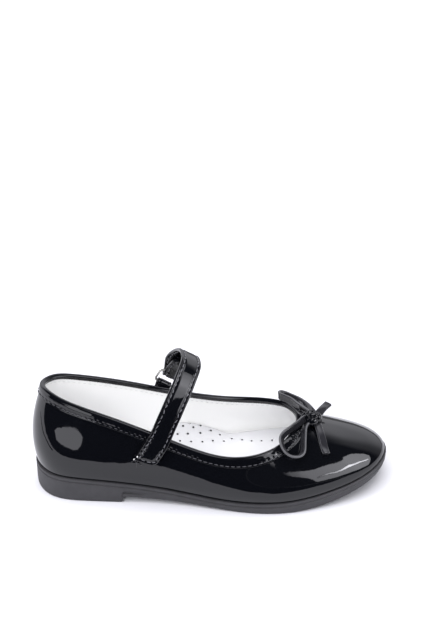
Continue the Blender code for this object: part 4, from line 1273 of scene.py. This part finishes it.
# x, y, z of the ribbon's middle and its turn in degrees
OUTER_LOOP = (
    (160.4, -1.0, 42.6, 54), (155.4, -4.8, 43.2, 36), (150.4, -10.4, 43.2, 16), (145.0, -16.0, 42.8, 12),
    (141.2, -21.0, 41.5, 20), (141.6, -26.2, 38.3, 36), (146.4, -29.4, 34.8, 42), (151.4, -28.0, 33.9, 36),
    (153.6, -22.4, 36.2, 28), (154.2, -15.0, 39.2, 26), (156.2, -7.5, 41.2, 36), (160.4, -2.0, 41.4, 60),
)
INNER_LOOP = (
    (160.4, 2.0, 42.6, -54), (156.2, 5.4, 43.3, -38), (151.4, 11.0, 43.3, -16), (146.4, 17.4, 42.9, -8),
    (142.6, 23.0, 41.7, -8), (144.0, 26.2, 40.4, -8), (148.8, 25.8, 38.8, -8), (153.4, 22.0, 38.6, -13),
    (156.6, 15.8, 39.9, -18), (159.0, 9.0, 41.1, -36), (161.0, 3.0, 41.4, -64),
)
OUTER_TAIL = (
    (162.0, -1.0, 40.1, 80), (163.2, -6.6, 38.7, 86), (164.4, -12.6, 36.2, 90), (165.9, -18.8, 31.9, 90),
    (166.6, -21.6, 31.0, 90),
)
INNER_TAIL = (
    (162.0, 2.0, 40.3, -80), (164.8, 6.2, 40.4, -86), (167.6, 10.4, 40.9, -90), (170.6, 14.6, 41.0, -90),
)
# table, the way its ribbon stands, points along it
BOW_STRIPS = (
    (OUTER_LOOP, (0.05, -0.25, 1.0), 150), (INNER_LOOP, (0.05, 0.15, 1.0), 140),
    (OUTER_TAIL, (0.35, -0.45, 1.0), 50), (INNER_TAIL, (0.35, 0.35, 1.0), 40),
)
# round the ribbon's section: share of the width and share of the half thickness. Its edges are rounded
RIBBON_SECTION = [(0.16 - 0.16 * math.cos(a), math.sin(a)) for a in np.radians(np.linspace(-75, 75, 7))]
RIBBON_SECTION += [(w, 1.0) for w in np.linspace(0.16, 0.84, 10)]
RIBBON_SECTION += [(0.84 + 0.16 * math.cos(a), math.sin(a)) for a in np.radians(np.linspace(75, -75, 7))]
RIBBON_SECTION += [(w, -1.0) for w in np.linspace(0.84, 0.16, 10)]
CUT = [1 if w < 0.05 or w > 0.95 else 0 for w, _ in RIBBON_SECTION]
print(len(RIBBON_SECTION), "points round the ribbon's section")

# %% Ribbons
bm = new_mesh()
for table, stand_up, count in BOW_STRIPS:
    curve = resampled(table, count)
    middle, turn = curve[:, :3], np.radians(curve[:, 3:4])
    along = unit(np.gradient(middle, axis=0))
    stand = unit(np.array(stand_up) - along * (along @ np.array(stand_up))[:, None])
    side = np.cos(turn) * stand + np.sin(turn) * np.cross(along, stand)
    over = unit(np.cross(side, along))
    run = run_length(middle)
    rings = []
    for share, lift in RIBBON_SECTION:
        flutter = 0.10 * wave(run + 3 * share, 11.0)[:, None]
        cupped = 0.18 * (2 * share - 1) ** 2
        raised = RIBBON_THICK / 2 * lift + flutter + cupped
        rings.append(middle + side * RIBBON_WIDTH * (share - 0.5) + over * raised)
    lay_grid(bm, np.stack(rings, axis=1), close_columns=True, looks=CUT)
weld(bm, fill=True)
ribbons = make_piece(bm, "bow_ribbons", [patent_ribbon, cut_edge])

# %% Knot
# a ball drawn out to a cushion, puffed in the middle, with a groove at each end and three soft folds
bm = new_mesh()
bmesh.ops.create_uvsphere(bm, u_segments=72, v_segments=48, radius=1)
for vertex in bm.verts:
    x, y, z = vertex.co
    flat = max(1 - z * z, 0) ** 0.375 / max(math.sqrt(x * x + y * y), 1e-6)
    x, y = x * flat, y * flat
    wrap = math.exp(-((y / 0.62) ** 4))
    puff = 1 + 0.10 * wrap * math.cos(3.2 * y) - 0.20 * math.exp(-(((abs(y) - 0.62) / 0.12) ** 2))
    fold_line = 0.22 * math.exp(-(((y - 0.35 * x - 0.02) / 0.11) ** 2))
    fold_line += 0.14 * math.exp(-(((x + 0.42 + 0.3 * y) / 0.12) ** 2)) * wrap
    fold_line += 0.12 * math.exp(-(((x - 0.50 + 0.4 * y) / 0.10) ** 2)) * wrap
    place = np.array([x, y, z]) * (puff - fold_line) * KNOT_SIZE / 2 + KNOT_PLACE
    vertex.co = in_scene(place)
make_piece(bm, "bow_knot", patent_strip)
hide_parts("bow")

# %% [markdown]
# ## Floor, cards and lights
#
# Patent leather has almost no colour of its own: what the eye reads is the studio in it. A studio
# therefore lights the floor and backdrop white, and then places white and black cards so that their
# reflections draw the shape. Here the soft light on the scene comes from the world and three large area
# lights, and the cards are glowing sheets that only reflections can see. The outlines of the cards were
# found by following lines of sight from the camera off the skin and on to where a card can stand. They
# suit that camera: from other sides the reflections are only plausible.

# %% Floor
FLOOR_SIZE = 8.0
floor_finish, _, _ = new_finish(
    "white studio paper", Base_Color=linear("#D2D2D9"), Roughness=0.9, Specular_IOR_Level=0.1
)
bm = bmesh.new()
bmesh.ops.create_grid(bm, x_segments=4, y_segments=4, size=FLOOR_SIZE / 2)
floor_mesh = bpy.data.meshes.new("studio_floor")
bm.to_mesh(floor_mesh)
bm.free()
floor_mesh.materials.append(floor_finish)
floor = bpy.data.objects.new("studio_floor", floor_mesh)
bpy.context.scene.collection.objects.link(floor)
floor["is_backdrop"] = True
print("floor", FLOOR_SIZE, "m wide")


# %% Helpers for the cards
DAYLIGHT, PLAIN = "#F8F8FF", "#FFFFFF"
EVEN = ((0.0, 1.0), (1.0, 1.0))


def glow(name, radiance, across=EVEN, up=EVEN):
    """Light whose strength follows tables of (share of the card, share of the radiance)."""
    finish = bpy.data.materials.new(name)
    finish.use_nodes = True
    tree = finish.node_tree
    tree.nodes.clear()
    uv = add_node(tree, "SeparateXYZ", links={"Vector": add_node(tree, "TexCoord").outputs["UV"]})
    shades = []
    for axis, table, tint in (("X", across, DAYLIGHT), ("Y", up, PLAIN)):
        ramp = add_node(tree, "ValToRGB", links={"Fac": uv.outputs[axis]})
        ramp.color_ramp.interpolation = "EASE"
        stops = ramp.color_ramp.elements
        while len(stops) < len(table):
            stops.new(0.5)
        for stop, (share, strength) in zip(stops, table):
            stop.position = share
            stop.color = [strength * channel for channel in linear(tint)]
        shades.append(ramp.outputs["Color"])
    both = add_node(tree, "VectorMath", links=dict(enumerate(shades)), operation="MULTIPLY")
    light = add_node(tree, "Emission", {"Strength": radiance}, {"Color": both.outputs["Vector"]})
    add_node(tree, "OutputMaterial", links={"Surface": light.outputs["Emission"]})
    return finish


def make_card(bm, name, finish):
    """A sheet that only reflections see."""
    mesh = bpy.data.meshes.new(name)
    bm.to_mesh(mesh)
    bm.free()
    mesh.materials.append(finish)
    card = bpy.data.objects.new(name, mesh)
    bpy.context.scene.collection.objects.link(card)
    card.visible_camera = card.visible_diffuse = card.visible_shadow = False
    card.visible_transmission = card.visible_volume_scatter = False
    card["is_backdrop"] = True


def flat_card(points, name, finish):
    """A card laid over rows of points in mm, like any other grid."""
    bm = new_mesh()
    lay_grid(bm, points)
    make_card(bm, name, finish)


def sky_card(name, border, finish, distance=1.1, centre=(0.05, 0.0, 0.02)):
    """A curved card round a point of the shoe, both in metres. Each row of its border has an azimuth,
    and the lowest and highest elevation there, in degrees."""
    border = np.array(border, float)
    az = np.linspace(border[0, 0], border[-1, 0], 49)
    low, high = (np.interp(az, border[:, 0], border[:, k]) for k in (1, 2))
    share = np.linspace(0, 1, 17)[:, None]
    az, el = np.radians(az), np.radians(low * (1 - share) + high * share)
    places = np.stack([np.cos(el) * np.cos(az), np.cos(el) * np.sin(az), np.sin(el)], axis=-1)
    flat_card((places * distance + centre) / MM + [MIDDLE_X, MIDDLE_Y, 0], name, finish)


print("cards have the tint", DAYLIGHT)

# %% Backdrop and softbox
# azimuth, lowest and highest elevation, all in degrees
BACKDROP = ((4, 0.5, 56), (24, 0.5, 58), (45, 0.5, 55), (60, 0.5, 50), (75, 0.5, 46), (178, 0.5, 46))
SOFTBOX = (
    (-68.5, 18.9, 20.4), (-65, 18.2, 21.6), (-60.5, 15, 22.8), (-57, 9, 23.7), (-55, 2, 24.4),
    (-50, 2.5, 26), (-45.5, 4, 27.6), (-40.5, 4.6, 29.5), (-33, 5.7, 32), (-25, 6, 35), (-22, 6, 38),
    (-13, 6.5, 37.8), (-8, 10, 37), (-3, 17, 35), (2.2, 24, 30),
)
STREAK = (
    (-54, 9.0, 11.0), (-46.5, 12.9, 16.0), (-39.5, 15.6, 19.4), (-34.4, 17.0, 22.6), (-29, 18.6, 25),
    (-25, 20.4, 23.8), (-18, 20.8, 24.2), (-5, 18.4, 21.4),
)
sky_card("backdrop", BACKDROP, glow(
    "white backdrop", 1.6, ((0.0, 0.0), (0.08, 0.3), (0.24, 1.0), (0.98, 1.0), (1.0, 0.0)),
    ((0.0, 0.5), (0.35, 0.7), (0.75, 1.0), (1.0, 0.0)),
))
sky_card("softbox", SOFTBOX, glow(
    "softbox", 5.8,
    ((0.0, 0.0), (0.07, 0.35), (0.16, 0.62), (0.5, 0.74), (0.6, 0.82), (0.99, 0.72), (1.0, 0.3)),
    ((0.0, 0.3), (0.06, 0.9), (0.8, 0.95), (0.97, 0.95), (1.0, 0.2)),
))
sky_card("softbox_streak", STREAK, glow(
    "softbox streak", 22, ((0.0, 0.1), (0.2, 0.45), (0.38, 0.9), (0.54, 1.0), (0.66, 0.9), (1.0, 0.7)),
    ((0.0, 0.0), (0.3, 1.0), (0.7, 1.0), (1.0, 0.0)),
), distance=1.05)
print("softbox from", SOFTBOX[0][0], "to", SOFTBOX[-1][0], "degrees round the shoe")

# %% Panel and flag above the strap
# a small panel close above the strap lights its upper half, and a black flag below it hides the softbox
STRAP_CROWN, CLOSE = (-0.015, -0.014, 0.074), 0.15
OVERHEAD = ((-60, 62, 84), (-20, 62, 86), (60, 62, 88))
PANEL = (
    (-68, 19.4, 28), (-61, 19.4, 32), (-55, 19.4, 36), (-49, 19.4, 40), (-40, 25, 46), (-30, 31, 52),
    (-20, 35, 56), (-8, 37, 58),
)
PANEL_FLAG = ((-84, -12, 19.4), (-70, -4, 19.4), (-60, 8, 19.4), (-52, 14, 19.4), (-47, 18, 19.4))
PANEL_ACROSS = (
    (0.0, 0.5), (0.2, 0.6), (0.32, 0.72), (0.47, 1.0), (0.63, 0.9), (0.8, 0.72), (0.97, 0.45), (1.0, 0.0),
)
sky_card("overhead_card", OVERHEAD, glow("overhead card", 2.6))
sky_card("strap_panel", PANEL, glow("strap panel", 4.8, PANEL_ACROSS), CLOSE, STRAP_CROWN)
sky_card("strap_flag", PANEL_FLAG, glow("black flag", 0.0), CLOSE, STRAP_CROWN)
print("panel and flag", CLOSE, "m from the strap's crown")

# %% Dark strip, flag and window near the shoe
# a dark strip on the floor, which only reflections see, paints a thin dark line into the heel's reflection: x
# and y in mm
HEEL_LINE_STRIP = (
    (-220, 17), (-206, -5), (-182, -18), (-162, -31), (-142, -40), (-120, -53), (-100, -64), (-80, -73),
    (-60, -80),
)
STRIP_HALF_X, STRIP_HALF_Y, ON_FLOOR = 2.5, 5, 1
dark_strip = [
    [(x - STRIP_HALF_X, y - STRIP_HALF_Y, ON_FLOOR), (x + STRIP_HALF_X, y + STRIP_HALF_Y, ON_FLOOR)] for x, y in HEEL_LINE_STRIP
]
flat_card(dark_strip, "heel_reflection_line", glow("dark strip seen only in reflections", 0.1))

# a grey flag on the floor behind the shoe keeps its far edge dark against the white paper: y and how
# far in x it reaches there, both in mm
FLAG_START = 40
FLAG_RIGHT = ((46, 112), (95, 121), (240, 290), (400, 700), (2500, 4000))
flag = [[(FLAG_START, y, ON_FLOOR), (x, y, ON_FLOOR)] for y, x in FLAG_RIGHT]
flat_card(flag, "floor_flag", glow("grey flag", 0.25))

# a window beside the heel, on an upright plane: x and z in mm
WINDOW_Y = -75
WINDOW = (
    (-40.1, 34.8), (-33, 38), (-27.8, 39.8), (-13.6, 40.6), (-3.4, 39.9), (2.9, 39.2), (7.4, 38.2),
    (10.0, 36.8), (12.0, 34.2), (11.7, 29.9), (10.5, 25.8), (7.2, 21.8), (4.2, 21.4), (-3.4, 23.6),
    (-15.1, 25.7), (-28.2, 28.1),
)
bm = new_mesh()
corners = [bm.verts.new(in_scene((x, WINDOW_Y, z))) for x, z in WINDOW]
bmesh.ops.contextual_create(bm, geom=corners)
make_card(bm, "heel_window", glow("heel window", 2.4))
print("three cards near the shoe, the window", -WINDOW_Y, "mm in front of its middle line")

# %% Black sheet in front of the shoe, seen only in reflections
# a black sheet that only reflections see starts a hand's width in front of the shoe, where the floor goes
# on white: beyond its edge reflections see black, a painted dark reflection. x and y from the middle of the
# shoe, in mm
BLACK_SHEET_EDGE = (
    (-3000, -70), (-900, -74), (-254, -84), (-147, -101), (-112, -97), (-88, -91), (-70, -87), (-51, -74),
    (-36, -66), (-14, -66), (5, -68), (25, -74), (45, -88), (65, -92), (90, -98), (115, -108), (150, -120),
    (199, -150), (393, -283), (900, -640),
)
UNDER_CARDS, FAR_AWAY = 0.8, 3000
front = np.array([(x, y, UNDER_CARDS) for x, y in BLACK_SHEET_EDGE]) + [MIDDLE_X, MIDDLE_Y, 0]
front = resampled(front, 80)
far = front.copy()
far[:, 1] = -FAR_AWAY
flat_card([front, far], "black_reflection_sheet", glow("black sheet seen only in reflections", 0.0))


# %% Lights and world
MIDDLE_OF_SHOE = Vector((0, 0, 0.02))
AROUND, IN_GLOSS = 1.2, 0.015    # the world's strength on dull surfaces and in reflections


def soft_light(name, place, size, power):
    """A round lamp aimed at the shoe, in metres and watts, which reflections and the camera don't see."""
    lamp = bpy.data.lights.new(name, "AREA")
    lamp.shape, lamp.size, lamp.energy = "DISK", size, power
    light = bpy.data.objects.new(name, lamp)
    light.location = place
    light.rotation_euler = (MIDDLE_OF_SHOE - Vector(place)).to_track_quat("-Z", "Y").to_euler()
    light.visible_glossy = light.visible_camera = False
    bpy.context.scene.collection.objects.link(light)


soft_light("overhead", (0.1, 0.1, 1.6), 1.4, 16)
soft_light("front fill", (-0.5, -1.2, 1.1), 1.0, 9)
soft_light("heel fill", (-0.9, -0.3, 1.0), 0.8, 8)

world = bpy.data.worlds.new("white studio")
bpy.context.scene.world = world
world.use_nodes = True
tree = world.node_tree
tree.nodes.clear()
ray = add_node(tree, "LightPath")
around = add_node(tree, "Background", {"Color": (1, 1, 1, 1), "Strength": AROUND})
in_gloss = add_node(tree, "Background", {"Color": (1, 1, 1, 1), "Strength": IN_GLOSS})
mixed = add_node(tree, "MixShader", links={
    0: ray.outputs["Is Glossy Ray"], 1: around.outputs[0], 2: in_gloss.outputs[0],
})
add_node(tree, "OutputWorld", links={"Surface": mixed.outputs[0]})
bpy.context.scene.view_settings.view_transform = "Standard"  # so white paper is shown white, not as a grey
print("lights:", ", ".join(light.name for light in bpy.data.lights))

# %% [markdown]
# ## Camera
#
# A long lens from about 70 cm, a little above the shoe, shows its outer side and the inside of the
# heel at once.

# %% Camera
camera = bpy.data.objects.new("camera", bpy.data.cameras.new("camera"))
camera.data.sensor_fit, camera.data.sensor_width, camera.data.lens = "HORIZONTAL", 36.0, 102.87
camera.data.clip_start = 0.05
camera.location = (-0.006098, -0.577140, 0.423764)
camera.rotation_euler = [math.radians(angle) for angle in (61.333, 0.0525, -0.600)]
bpy.context.scene.collection.objects.link(camera)
bpy.context.scene.camera = camera
print("camera", round(camera.location.length, 2), "m from the shoe")

# %% Sizes and finish
for box_name, box in (("measured shoe", cad_box), ("dressed shoe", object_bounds())):
    print(box_name, [round((high - low) / MM, 1) for low, high in zip(*box)], "mm")
